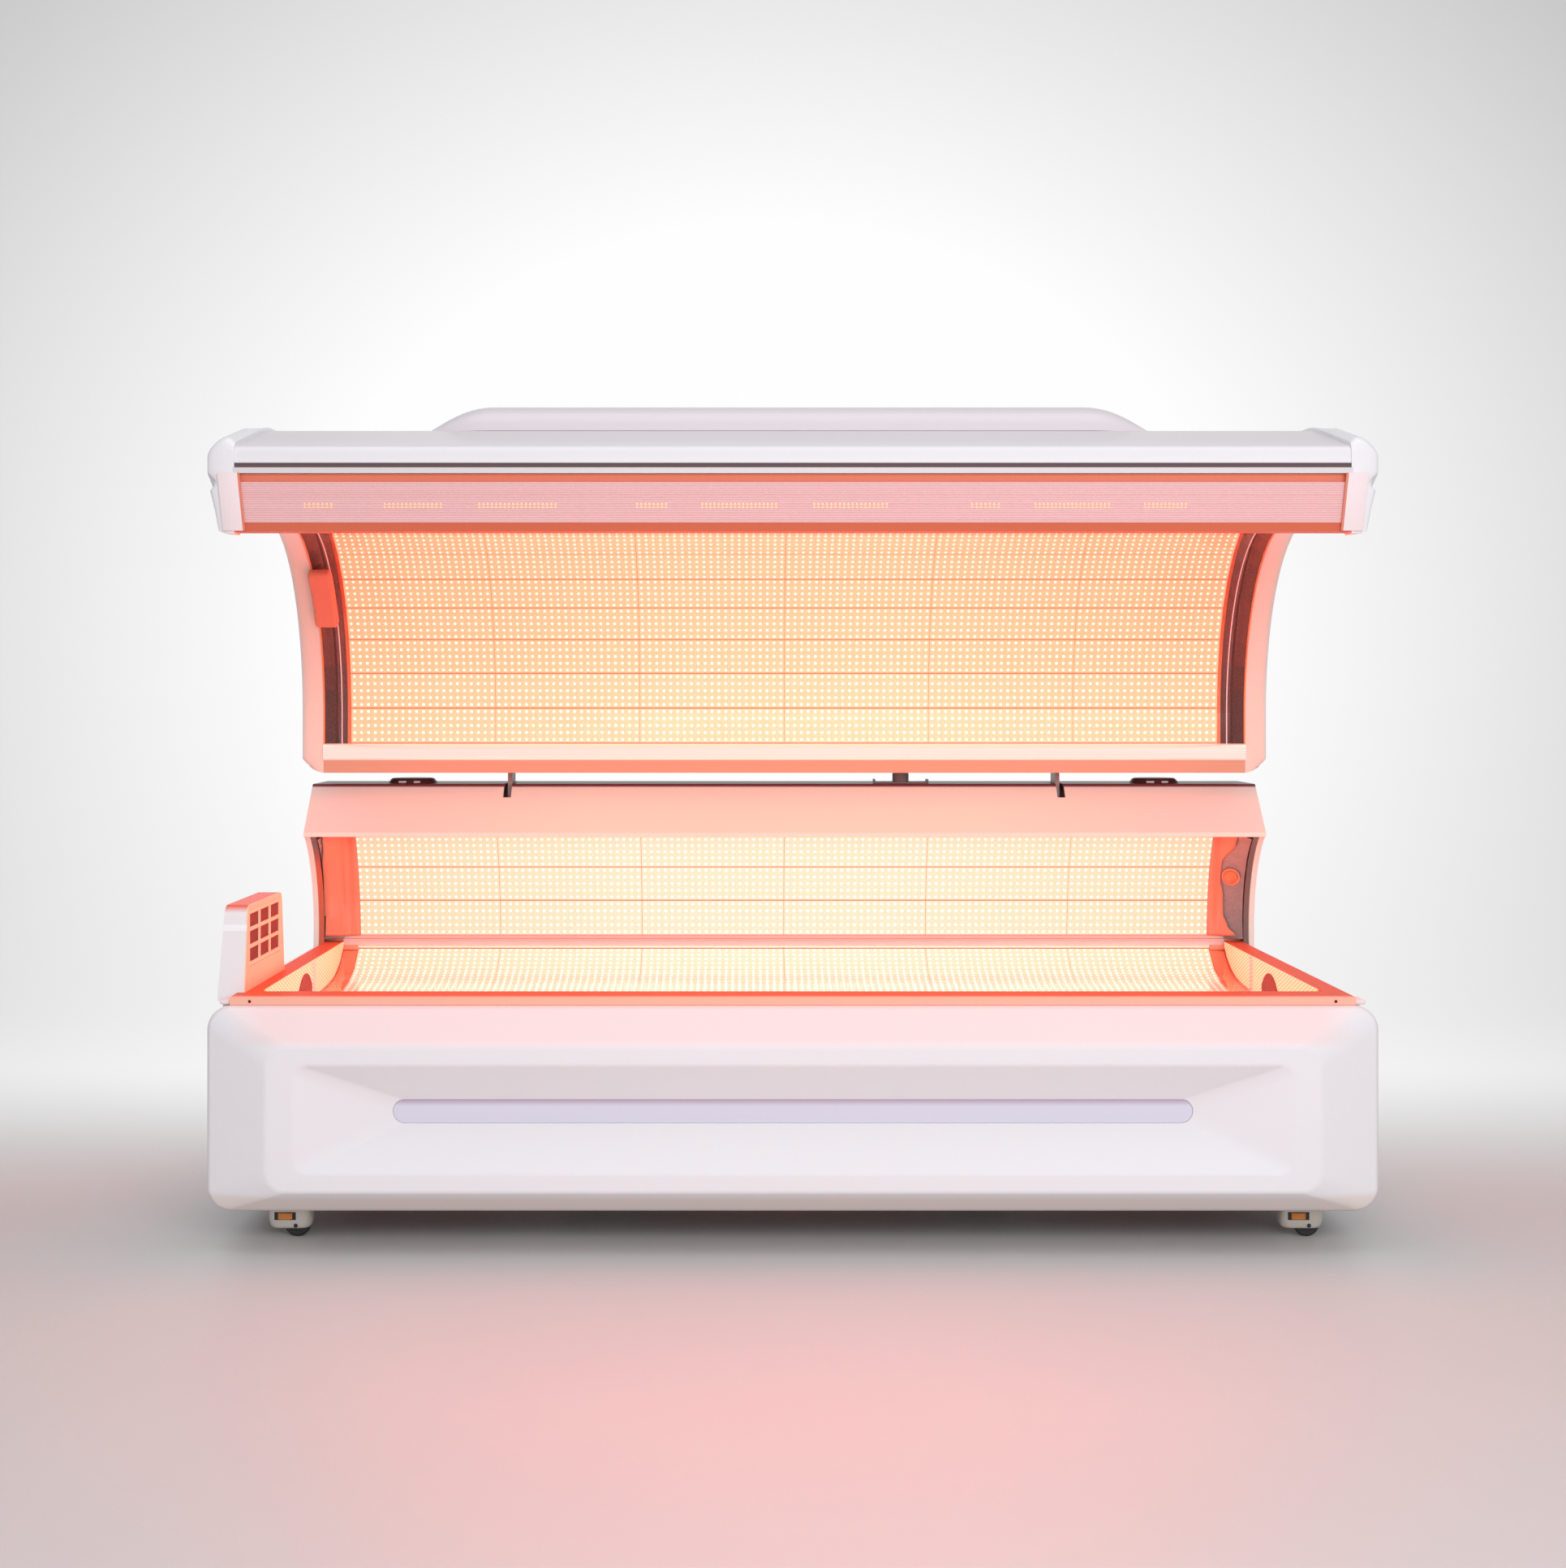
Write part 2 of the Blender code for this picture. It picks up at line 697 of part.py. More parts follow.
def shell_path():
    """Outer face of the canopy shell, from its rear lower edge over the roof to the front edge."""
    corners = [
        (SHELL_REAR, CANOPY_BOTTOM, 0),
        (SHELL_REAR, SHELL_TOP, SHELL_RADIUS),
        (SHELL_SHOULDER_DEPTH, SHELL_TOP - SHELL_SHOULDER_FALL, SHELL_SHOULDER_RADIUS),
        (0, SHELL_TOP - SHELL_BROW_FALL, SHELL_BROW_RADIUS),
        (0, SHELL_FRONT_EDGE, 0),
    ]
    return rounded(corners, ARC_STEPS)


# Base casings


def front_panel():
    """The front moulding: a pyramid up to a raised frame, and a recess down to the light slot."""
    middle = BASE_BOTTOM + SLOT_RISE
    outer = rectangle(-HALF_LENGTH, HALF_LENGTH, BASE_BOTTOM, PANEL_TOP, PANEL_CORNER)
    frame_half = HALF_LENGTH - FRAME_END_MARGIN
    frame_low = BASE_BOTTOM + FRAME_BOTTOM_MARGIN
    frame_high = PANEL_TOP - FRAME_TOP_MARGIN
    frame = rectangle(-frame_half, frame_half, frame_low, frame_high, FRAME_CORNER)
    recess_half = frame_half - FRAME_LAND_END
    recess_low = frame_low + FRAME_LAND_EDGE
    recess_high = frame_high - FRAME_LAND_EDGE
    recess = rectangle(-recess_half, recess_half, recess_low, recess_high, RECESS_CORNER)
    slot = slot_outline(0, middle)
    stations = [
        (outer, PANEL_RETURN),
        (outer, 0),
        (frame, -FRAME_PROUD),
        (recess, -FRAME_PROUD),
        (slot, 0),
        (slot, SLOT_DEPTH),
    ]
    rings = [[Vector((x, depth, z)) for x, z in outline] for outline, depth in stations]
    mesh = lofted("front_panel", blended(rings[:5], PANEL_SOFTNESS)[:-1] + rings[4:], capped=False)
    solid = place("front_panel", mesh, (0, -ORIGIN_DEPTH, 0))
    thicken(solid, PANEL_WALL, inward=True)
    paint(solid, WHITE)


def slot_outline(margin, middle):
    """The pill-shaped light slot, drawn in by a margin."""
    half = SLOT_HALF - margin
    rise = SLOT_HEIGHT / 2 - margin
    return rectangle(-half, half, middle - rise, middle + rise, rise - FIT)


def light_bar():
    outline = slot_outline(FIT, BASE_BOTTOM + SLOT_RISE)
    far = LIGHT_BAR_SET_BACK + LIGHT_BAR_THICKNESS
    paint(front_section("front_light_bar", [outline], LIGHT_BAR_SET_BACK, far), DIFFUSER)


def end_panels():
    outline = rectangle(RIM_BACK_LIP, REAR_INNER - FIT, BASE_BOTTOM, PANEL_TOP, END_CORNER)
    for name, side in SIDES:
        inner = side * (END_HALF - END_WALL)
        paint(side_section(f"{name}_end_panel", [outline], inner, side * END_HALF), WHITE)


def rear_cover():
    """The flat back, with two groups of cooling slots and the hole of the mains inlet."""
    top = VISOR_TOP - VISOR_WALL - FIT
    outline = rectangle(-END_HALF, END_HALF, BASE_BOTTOM, top, END_CORNER)
    holes = [inlet_outline(FIT)]
    for group in (-VENT_GROUP_OFFSET, VENT_GROUP_OFFSET):
        for row in range(VENT_SLOT_COUNT):
            low = BASE_BOTTOM + VENT_GROUP_RISE + row * VENT_SLOT_PITCH
            left = group - VENT_SLOT_LENGTH / 2
            holes.append(rectangle(left, left + VENT_SLOT_LENGTH, low, low + VENT_SLOT_HEIGHT))
    paint(front_section("rear_cover", [outline, *holes], REAR_INNER, BASE_DEPTH), WHITE)


def inlet_outline(margin):
    length, height = INLET_SIZE
    middle = BASE_BOTTOM + INLET_RISE
    left = INLET_OFFSET - length / 2 - margin
    right = INLET_OFFSET + length / 2 + margin
    return rectangle(left, right, middle - height / 2 - margin, middle + height / 2 + margin)


def mains_inlet():
    """A flanged socket body set through the rear cover, its mouth flush with the back face."""
    body = front_section("power_inlet", [inlet_outline(0)], REAR_INNER - INLET_BODY, BASE_DEPTH - FIT)
    far = REAR_INNER - FIT
    join(body, front_section("inlet_flange", [inlet_outline(INLET_FLANGE)], far - INLET_PROUD, far))
    floor = REAR_INNER - INLET_PROUD
    cut(body, front_section("inlet_mouth", [inlet_outline(-INLET_FLANGE)], floor, BASE_DEPTH))
    paint(body, BLACK)


def bed_rim():
    """The rim round the front and ends of the bed, with end walls that reach down beside the acrylic."""
    back = SEAM_RAIL_FRONT + SEAM_RAIL_DEPTH
    outline = [
        (-RIM_HALF, RIM_FRONT),
        (RIM_HALF, RIM_FRONT),
        (RIM_HALF, back),
        (BED_HALF, back),
        (BED_HALF, BED_FRONT),
        (-BED_HALF, BED_FRONT),
        (-BED_HALF, back),
        (-RIM_HALF, back),
    ]
    rim = plan_section("bed_rim", [outline], RIM_BOTTOM, RIM_TOP)
    overlap = RIM_BOTTOM + RIM_THICKNESS / 2
    lip_low = (-BED_HALF, RIM_BACK_LIP, RIM_TOP - BED_FRONT_DROP)
    join(rim, block("rim_front_lip", lip_low, (BED_HALF, BED_FRONT, overlap)))
    for name, side in SIDES:
        near, far = sorted((side * BED_HALF, side * (BED_HALF + END_WALL_THICKNESS)))
        low = (near, RIM_BACK_LIP, RIM_TOP - END_WALL_DROP)
        join(rim, block(f"{name}_rim_wall", low, (far, back, overlap)))
    paint(rim, CORAL)


# Bed surfaces


def bed_acrylic():
    outline = band(bed_path(), 0, BED_ACRYLIC)
    half = BED_HALF - FIT
    paint(side_section("bed_acrylic", [outline], -half, half), CLEAR)


def bed_boards():
    """The board tray under the acrylic, with turned-up lips that carry the sheet."""
    path = bed_path(TRAY_TRIM)
    seat = BED_ACRYLIC + FIT
    face = BED_ACRYLIC + BOARD_GAP
    under = offset(path, face + BOARD)
    inner = bed_path(TRAY_TRIM + TRAY_LIP)
    lips = [offset(path, seat)[-1], offset(inner, seat)[-1]]
    front_lips = [offset(inner, seat)[0], offset(path, seat)[0]]
    outline = under + lips + offset(inner, face)[::-1] + front_lips
    paint(side_section("bed_led_panel", [outline], -BOARD_HALF, BOARD_HALF), BOARD_CREAM)


def seam_rail():
    low = SEAM_HEIGHT + SEAM_RAIL_PROUD - SEAM_RAIL_HEIGHT
    far = SEAM_RAIL_FRONT + SEAM_RAIL_DEPTH
    half = BED_HALF - FIT
    rail = block("seam_rail", (-half, SEAM_RAIL_FRONT, low), (half, far, SEAM_HEIGHT + SEAM_RAIL_PROUD))
    paint(rail, BLUSH)


def rear_boards():
    outline = band(rear_board_path(), 0, BOARD)
    paint(side_section("rear_led_panel", [outline], -BOARD_HALF, BOARD_HALF), BOARD_CREAM)


# Chassis


def ladder(margin):
    """Plan outlines of the chassis channels, drawn in by a margin."""
    far = REAR_INNER - FIT
    half = CHASSIS_HALF - margin
    outlines = [rectangle(-half, half, CHASSIS_FRONT + margin, far - margin)]
    centres = [-CROSS_MEMBER_OFFSET, CROSS_MEMBER_OFFSET]
    edges = [-CHASSIS_HALF + CHASSIS_RAIL]
    for centre in centres:
        edges += [centre - CHASSIS_RAIL / 2, centre + CHASSIS_RAIL / 2]
    edges.append(CHASSIS_HALF - CHASSIS_RAIL)
    near = CHASSIS_FRONT + CHASSIS_RAIL
    for left, right in zip(edges[::2], edges[1::2]):
        window = rectangle(left - margin, right + margin, near - margin, far - CHASSIS_RAIL + margin)
        outlines.append(window)
    return outlines


def chassis_rib(top):
    """Side outline of an upright rib under the bed tray and behind the rear boards."""
    foot = CHASSIS_BOTTOM + CHASSIS_WALL / 2
    tray = offset(bed_path(TRAY_TRIM), BED_ACRYLIC + BOARD_GAP + BOARD + FIT)
    boards = offset(rear_board_path(), BOARD + FIT)
    behind = [point for point in boards if SEAM_HEIGHT + SEAM_RAIL_HEIGHT < point.y < top]
    rail_back = SEAM_RAIL_FRONT + SEAM_RAIL_DEPTH + FIT
    rail_bottom = SEAM_HEIGHT + SEAM_RAIL_PROUD - SEAM_RAIL_HEIGHT - FIT
    near = tray[1]
    under = [point for point in tray[1:-1] if point.x < rail_back]
    step = [(rail_back, min(rail_bottom, under[-1].y)), (rail_back, behind[0].y)]
    rear = REAR_INNER - FIT - CHASSIS_WALL / 2
    crown = [(behind[-1].x, top), (rear, top)]
    return [(near.x, foot), *under, *step, *behind, *crown, (rear, foot)]


def chassis():
    """A welded ladder of open channels, with upright ribs that carry the boards and hinge brackets."""
    frame = plan_section("chassis_frame", ladder(0), CHASSIS_BOTTOM, CHASSIS_TOP)
    floor = CHASSIS_BOTTOM + CHASSIS_WALL
    cut(frame, plan_section("chassis_trough", ladder(CHASSIS_WALL), floor, CHASSIS_TOP + CUT_OVERRUN))
    bracket_bottom = HINGE_HEIGHT - BRACKET_DROP
    for name, offset_x, top in (
        ("left_chassis_rib", -ARM_OFFSET, bracket_bottom - FIT),
        ("middle_chassis_rib", 0, VISOR_BOTTOM),
        ("right_chassis_rib", ARM_OFFSET, bracket_bottom - FIT),
    ):
        start = offset_x - RIB_THICKNESS / 2
        join(frame, side_section(name, [chassis_rib(top)], start, start + RIB_THICKNESS))
    paint(frame, STEEL)


# Rear wall


def arm_slots(height_low, depth_low, depth_high, height_high, clearance):
    """Cutters for the two slots that the hinge arms pass through."""
    slots = []
    for name, side in SIDES:
        half = ARM_THICKNESS / 2 + clearance
        low = (side * ARM_OFFSET - half, depth_low, height_low)
        slots.append(block(f"{name}_arm_slot", low, (side * ARM_OFFSET + half, depth_high, height_high)))
    return slots


def visor():
    """The sloped hood over the rear boards, slotted for the hinge arms."""
    outline = band(visor_path(), 0, VISOR_WALL)
    hood = side_section("rear_visor", [outline], -CHEEK_OUTER, CHEEK_OUTER)
    low = VISOR_TOP - ARM_SLOT_DROP
    far = PIVOT_DEPTH + ARM_REAR + ARM_SLOT_CLEARANCE
    cut(hood, *arm_slots(low, VISOR_FRONT, far, VISOR_TOP + CUT_OVERRUN, ARM_SLOT_CLEARANCE))
    paint(hood, BLUSH)


def cheeks():
    """End walls of the rear box, hollowed along a concave front edge."""
    under = offset(visor_path(), VISOR_WALL + FIT)
    under[-1].x = REAR_INNER - FIT
    outline = [(REAR_INNER - FIT, RIM_BOTTOM), *cheek_edge(RIM_BOTTOM)[:-1], *under]
    for name, side in SIDES:
        cheek = side_section(f"{name}_cheek", [outline], side * (CHEEK_INNER + FIT), side * CHEEK_OUTER)
        paint(cheek, BLUSH)


def strip_surface(name, inner_path, inner_x, outer_path, outer_x, finish):
    """A polished strip lofted between two side paths at unlike places along X."""
    mesh = bpy.data.meshes.new(name)
    work = bmesh.new()
    inner = [work.verts.new((inner_x, depth, z)) for depth, z in inner_path]
    outer = [work.verts.new((outer_x, depth, z)) for depth, z in outer_path]
    for spot in range(len(inner) - 1):
        corners = (inner[spot], outer[spot], outer[spot + 1], inner[spot + 1])
        work.faces.new(corners if inner_x < outer_x else corners[::-1])
    work.to_mesh(mesh)
    work.free()
    strip = place(name, mesh, (0, -ORIGIN_DEPTH, 0))
    thicken(strip, REFLECTOR_SHEET, inward=True)
    return paint(strip, finish)


def rear_strip_paths():
    """The two long edges of a polished strip beside the rear boards."""
    foot = max(RIM_TOP, SEAM_HEIGHT + SEAM_RAIL_PROUD) + REFLECTOR_SHEET
    inner = rear_board_path()
    inner[0].y = foot
    outer = offset(cheek_edge(foot), FIT)
    return inner[:-1], outer[:-1]


def rear_strips():
    inner, outer = rear_strip_paths()
    strips = {}
    for name, side in SIDES:
        near = side * (BOARD_HALF + FIT)
        far = side * (CHEEK_INNER - REFLECTOR_SHEET)
        strips[name] = strip_surface(f"{name}_bed_reflector", inner, near, outer, far, MIRROR)
    return strips


def vent_caps():
    """Round cooling caps on the visor's flat top."""
    profile = [
        (0, VENT_CAP_HEIGHT),
        (VENT_CAP_RADIUS - VENT_CAP_EDGE, VENT_CAP_HEIGHT),
        (VENT_CAP_RADIUS, VENT_CAP_HEIGHT - VENT_CAP_EDGE),
        (VENT_CAP_RADIUS, 0),
        (0, 0),
    ]
    for name, side in SIDES:
        centre = (side * VENT_CAP_OFFSET, BASE_DEPTH - VENT_CAP_DEPTH, VISOR_TOP + FIT)
        paint(turned(f"{name}_vent_cap", profile, centre, (0, 0, 1)), BLUSH)


def cable_spout():
    """The conduit spout between base and canopy, on a flange with turned-up ends."""
    seat = VISOR_TOP + FIT
    half = SPOUT_FLANGE_LENGTH / 2
    left = SPOUT_OFFSET - half
    right = SPOUT_OFFSET + half
    lift = seat + SPOUT_FLANGE_WALL + SPOUT_FLANGE_TURN_UP
    inner = seat + SPOUT_FLANGE_WALL
    outline = [
        (left, seat),
        (right, seat),
        (right, lift),
        (right - SPOUT_FLANGE_WALL, lift),
        (right - SPOUT_FLANGE_WALL, inner),
        (left + SPOUT_FLANGE_WALL, inner),
        (left + SPOUT_FLANGE_WALL, lift),
        (left, lift),
    ]
    near = PIVOT_DEPTH - SPOUT_FLANGE_DEPTH / 2
    flange = front_section("cable_spout", [outline], near, near + SPOUT_FLANGE_DEPTH)
    centre = (SPOUT_OFFSET, PIVOT_DEPTH, seat)
    join(flange, rod("spout_tube", SPOUT_RADIUS, SPOUT_FLANGE_WALL / 2, SPOUT_RISE, centre, (0, 0, 1)))
    paint(flange, STEEL)


# Hinge


def hinge_mounts():
    """The clevis brackets on the chassis ribs, with their pins and counterbalance spring drums."""
    inner = ARM_THICKNESS / 2 + RUNNING_GAP
    outer = inner + BRACKET_CHEEK
    foot = HINGE_HEIGHT - BRACKET_DROP
    crown = HINGE_HEIGHT + BRACKET_CROWN
    near = PIVOT_DEPTH - BRACKET_DEPTH / 2
    for name, side in SIDES:
        middle = side * ARM_OFFSET
        outline = [
            (middle - outer, foot),
            (middle + outer, foot),
            (middle + outer, crown),
            (middle + inner, crown),
            (middle + inner, foot + BRACKET_FOOT),
            (middle - inner, foot + BRACKET_FOOT),
            (middle - inner, crown),
            (middle - outer, crown),
        ]
        bracket = front_section(f"{name}_hinge_bracket", [outline], near, near + BRACKET_DEPTH)
        centre = (middle, PIVOT_DEPTH, HINGE_HEIGHT)
        axis = (side, 0, 0)
        bore = PIN_RADIUS + FIT
        reach = outer + CUT_OVERRUN
        cut(bracket, rod(f"{name}_bracket_bore", bore, -reach, reach, centre, axis))
        paint(bracket, STEEL)
        drum_start = outer + FIT
        drum_end = drum_start + DRUM_LENGTH
        paint(rod(f"{name}_hinge_pin", PIN_RADIUS, -outer, drum_end, centre, axis), STEEL)
        profile = [
            (DRUM_RADIUS, drum_end),
            (DRUM_RADIUS, drum_start),
            (bore, drum_start),
            (bore, drum_end),
        ]
        paint(turned(f"{name}_spring_drum", profile, centre, axis, closed=True), STEEL)


def hinge_arms(hinge):
    """Canopy ribs that run on down through the visor to the hinge pins."""
    inner = offset(arch_path(RAIL_SEAT), BOARD_SET_BACK + BOARD + FIT)
    outer = offset(shell_path(), -SHELL_WALL - FIT)
    front = LIP_DEPTH + FIT
    outer = [point for point in outer if point.x > front and point.y > RAIL_TOP]
    brow_slope = (SHELL_BROW_FALL - SHELL_SHOULDER_FALL) / SHELL_SHOULDER_DEPTH
    brow = outer[-1].y - (outer[-1].x - front) * brow_slope - FIT
    rail_back = ARCH_WALL + LOWER_RAIL_DEPTH + FIT
    rail_top = CANOPY_BOTTOM + LOWER_RAIL_WALL + FIT
    arm_front = PIVOT_DEPTH - ARM_FRONT
    arm_rear = PIVOT_DEPTH + ARM_REAR
    eye = [
        Vector((PIVOT_DEPTH, HINGE_HEIGHT))
        + ARM_EYE * Vector((math.cos(turn), math.sin(turn)))
        for turn in [-math.pi * step / ARC_STEPS for step in range(ARC_STEPS + 1)]
    ]
    shoulder = CANOPY_BOTTOM - (CANOPY_BOTTOM - HINGE_HEIGHT) / 2
    outline = [
        (rail_back, rail_top),
        (rail_back, inner[0].y),
        *[point for point in inner if point.x > front],
        (front, inner[-1].y),
        (front, brow),
        *outer[::-1],
        (SHELL_INNER_REAR, RAIL_TOP),
        (arm_rear, CANOPY_BOTTOM),
        (arm_rear, shoulder),
        *eye,
        (arm_front, CANOPY_BOTTOM),
        (arm_front, rail_top),
    ]
    for name, side in SIDES:
        start = side * ARM_OFFSET - ARM_THICKNESS / 2
        arm = side_section(f"{name}_hinge_arm", [outline], start, start + ARM_THICKNESS)
        centre = (side * ARM_OFFSET, PIVOT_DEPTH, HINGE_HEIGHT)
        cut(arm, rod(f"{name}_arm_bore", PIN_RADIUS + FIT, -CUT_OVERRUN, CUT_OVERRUN, centre, (1, 0, 0)))
        attach(paint(arm, STEEL), hinge)


# Canopy


def canopy_shell(hinge):
    outline = band(shell_path(), -SHELL_WALL, 0)
    attach(paint(side_section("canopy_shell", [outline], -CANOPY_HALF, CANOPY_HALF), WHITE), hinge)


def cap_ring(outline, x, share, wall):
    """A cap's outline at a place along X, with a share of its edge rounding and of its lowered crown."""
    ring = []
    for depth, z in offset(outline, CAP_EDGE * share + wall, closed=True):
        above = max(0, z - LIP_TOP)
        ring.append(Vector((x, depth, z - above * CAP_CROWN_SHARE * share)))
    return ring


def canopy_caps(hinge):
    """Hollow C-shaped end caps that fall away to their outer ends, with a groove along the nose."""
    nose = [
        Vector((LIP_DEPTH + FIT, LIP_BOTTOM - CAP_PROUD)),
        Vector((-CAP_PROUD, LIP_BOTTOM - CAP_PROUD)),
    ]
    outline = arch_path(CANOPY_BOTTOM) + nose + offset(shell_path(), CAP_PROUD)[::-1]
    turns = [math.pi / 2 * step / CAP_STEPS for step in range(CAP_STEPS + 1)]
    stations = [(CAP_INNER + CAP_INSET * math.sin(turn), 1 - math.cos(turn)) for turn in turns]
    hollow_reach = CAP_INSET - CAP_FACE
    hollow_stations = [(CAP_INNER - CUT_OVERRUN, 0.0)]
    hollow_stations += [(CAP_INNER + hollow_reach * math.sin(turn), 1 - math.cos(turn)) for turn in turns]
    for name, side in SIDES:
        rings = [cap_ring(outline, side * x, share, 0) for x, share in stations]
        cap = place(f"canopy_{name}_cap", lofted(name, rings, capped=True), (0, -ORIGIN_DEPTH, 0))
        rings = [cap_ring(outline, side * x, share, CAP_WALL) for x, share in hollow_stations]
        hollow = lofted(f"{name}_cap_hollow", rings, capped=True)
        cut(cap, place(f"{name}_cap_hollow", hollow, (0, -ORIGIN_DEPTH, 0)))
        half = CAP_GROOVE / 2
        middle = Vector((side * HALF_LENGTH, 0, RIB_BAND_TOP))
        low = middle - Vector((half, CUT_OVERRUN, half))
        groove = block(f"{name}_cap_groove", low, middle + Vector((half, CAP_GROOVE_LENGTH, half)))
        groove.rotation_euler = (0, math.pi / 4, 0)
        cut(cap, groove)
        attach(paint(cap, BLUSH), hinge)


def canopy_lip(hinge):
    """The ribbed front extrusion: an open channel with fine ribs along its face."""
    pitch = RIB_BAND / RIB_COUNT
    ribs = []
    for step in range(RIB_COUNT):
        low = RIB_BAND_BOTTOM + step * pitch
        flat_low = low + RIB_SLOPE_SHARE * pitch
        flat_high = flat_low + RIB_FLAT_SHARE * pitch
        high = flat_high + RIB_SLOPE_SHARE * pitch
        ribs += [(0, low), (-RIB_PROUD, flat_low), (-RIB_PROUD, flat_high), (0, high)]
    recess_wall = LIP_RECESS_DEPTH + LIP_WALL
    outline = [
        (LIP_DEPTH, LIP_BOTTOM),
        (-RIB_PROUD, LIP_BOTTOM),
        (-RIB_PROUD, RIB_BAND_BOTTOM - RIB_PROUD),
        *ribs,
        (0, RIB_BAND_TOP),
        (LIP_RECESS_DEPTH, RIB_BAND_TOP),
        (LIP_RECESS_DEPTH, LIP_TOP),
        (LIP_DEPTH, LIP_TOP),
        (LIP_DEPTH, LIP_TOP - LIP_WALL),
        (recess_wall, LIP_TOP - LIP_WALL),
        (recess_wall, RIB_BAND_TOP - LIP_WALL),
        (LIP_WALL, RIB_BAND_TOP - LIP_WALL),
        (LIP_WALL, LIP_BOTTOM + LIP_WALL),
        (LIP_DEPTH, LIP_BOTTOM + LIP_WALL),
    ]
    lip = side_section("canopy_front_extrusion", [outline], -CANOPY_HALF, CANOPY_HALF)
    attach(paint(lip, ALUMINIUM), hinge)


def canopy_trim(hinge):
    """The silver strip over the extrusion, with a flange that the shell's front edge seats on."""
    seat = SHELL_WALL + FIT
    top = TRIM_TOP + TRIM_FLANGE
    outline = [
        (-TRIM_PROUD, TRIM_BOTTOM),
        (TRIM_DEPTH, TRIM_BOTTOM),
        (TRIM_DEPTH, top),
        (seat, top),
        (seat, TRIM_TOP),
        (-TRIM_PROUD, TRIM_TOP),
    ]
    trim = side_section("canopy_trim_strip", [outline], -CANOPY_HALF, CANOPY_HALF)
    attach(paint(trim, ALUMINIUM), hinge)


def canopy_lower_rail(hinge):
    """The bright rail under the boards, with a bottom plate that runs back to the shell."""
    wall = LOWER_RAIL_WALL
    top = RAIL_TOP
    back = ARCH_WALL + LOWER_RAIL_DEPTH
    outline = [
        (ARCH_WALL, CANOPY_BOTTOM),
        (ARCH_WALL, top),
        (back, top),
        (back, top - wall),
        (ARCH_WALL + wall, top - wall),
        (ARCH_WALL + wall, CANOPY_BOTTOM + wall),
        (SHELL_INNER_REAR, CANOPY_BOTTOM + wall),
        (SHELL_INNER_REAR, CANOPY_BOTTOM),
    ]
    rail = side_section("canopy_lower_rail", [outline], -CANOPY_HALF, CANOPY_HALF)
    low = CANOPY_BOTTOM - CUT_OVERRUN
    near = PIVOT_DEPTH - ARM_FRONT - FIT
    far = SHELL_INNER_REAR + CUT_OVERRUN
    cut(rail, *arm_slots(low, near, far, CANOPY_BOTTOM + CUT_OVERRUN, FIT))
    attach(paint(rail, ALUMINIUM), hinge)


def canopy_boards(hinge):
    path = arch_path(RAIL_SEAT)
    outline = band(path, BOARD_SET_BACK, BOARD_SET_BACK + BOARD)
    panel = side_section("canopy_led_panel", [outline], -BOARD_HALF, BOARD_HALF)
    attach(paint(panel, BOARD_CREAM), hinge)


def canopy_acrylic(hinge):
    """The clear sheet between boards and user, long enough to meet the polished strips."""
    path = arch_path(RAIL_SEAT)
    outline = band(path, CANOPY_ACRYLIC_SET_BACK, CANOPY_ACRYLIC_SET_BACK + CANOPY_ACRYLIC)
    strip_share = 1 - (CANOPY_ACRYLIC_SET_BACK + CANOPY_ACRYLIC) / BOARD_SET_BACK
    half = BOARD_HALF + (CAP_INNER - BOARD_HALF) * strip_share - CANOPY_ACRYLIC_GAP
    sheet = side_section("canopy_acrylic", [outline], -half, half)
    attach(paint(sheet, CLEAR), hinge)


def canopy_strips(hinge):
    path = arch_path(RAIL_SEAT)
    inner = offset(path, BOARD_SET_BACK)
    outer = offset(path, FIT)
    for name, side in SIDES:
        near = side * (BOARD_HALF + FIT)
        far = side * (CANOPY_HALF - REFLECTOR_SHEET)
        strip = strip_surface(f"canopy_{name}_reflector", inner, near, outer, far, MIRROR)
        attach(strip, hinge)


def canopy_top_cover(hinge):
    """The raised cover on the roof: a low dome that follows the roof's slope."""
    fall = math.atan2(SHELL_SHOULDER_FALL, SHELL_REAR - SHELL_SHOULDER_DEPTH)
    top_length = COVER_HALF_LENGTH - COVER_END_SLOPE
    top_depth = COVER_HALF_DEPTH - COVER_SIDE_SLOPE
    crown_length = COVER_HALF_LENGTH * COVER_CROWN_LENGTH_SHARE
    crown_depth = COVER_HALF_DEPTH * COVER_CROWN_DEPTH_SHARE
    stations = [
        (COVER_HALF_LENGTH, COVER_HALF_DEPTH, COVER_CORNER, 0),
        (COVER_HALF_LENGTH, COVER_HALF_DEPTH, COVER_CORNER, COVER_SKIRT),
        (top_length, top_depth, COVER_CORNER, COVER_HEIGHT),
        (crown_length, crown_depth, crown_depth / 2, COVER_HEIGHT),
    ]
    rings = [
        [Vector((x, y, height)) for x, y in rectangle(-length, length, -depth, depth, corner)]
        for length, depth, corner, height in stations
    ]
    mesh = lofted("canopy_top_cover", rings[:1] + blended(rings[1:], COVER_SOFTNESS), capped=False)
    work = bmesh.new()
    work.from_mesh(mesh)
    crown = [edge for edge in work.edges if edge.is_boundary and edge.verts[0].co.z > COVER_HEIGHT / 2]
    bmesh.ops.contextual_create(work, geom=crown)
    bmesh.ops.recalc_face_normals(work, faces=work.faces)
    work.to_mesh(mesh)
    work.free()
    roof = SHELL_TOP - (SHELL_REAR - COVER_MIDDLE) * math.tan(fall)
    cover = place("canopy_top_cover", mesh, (0, COVER_MIDDLE - ORIGIN_DEPTH, roof + FIT), (fall, 0, 0))
    thicken(cover, COVER_WALL, inward=True)
    attach(paint(cover, WHITE), hinge)


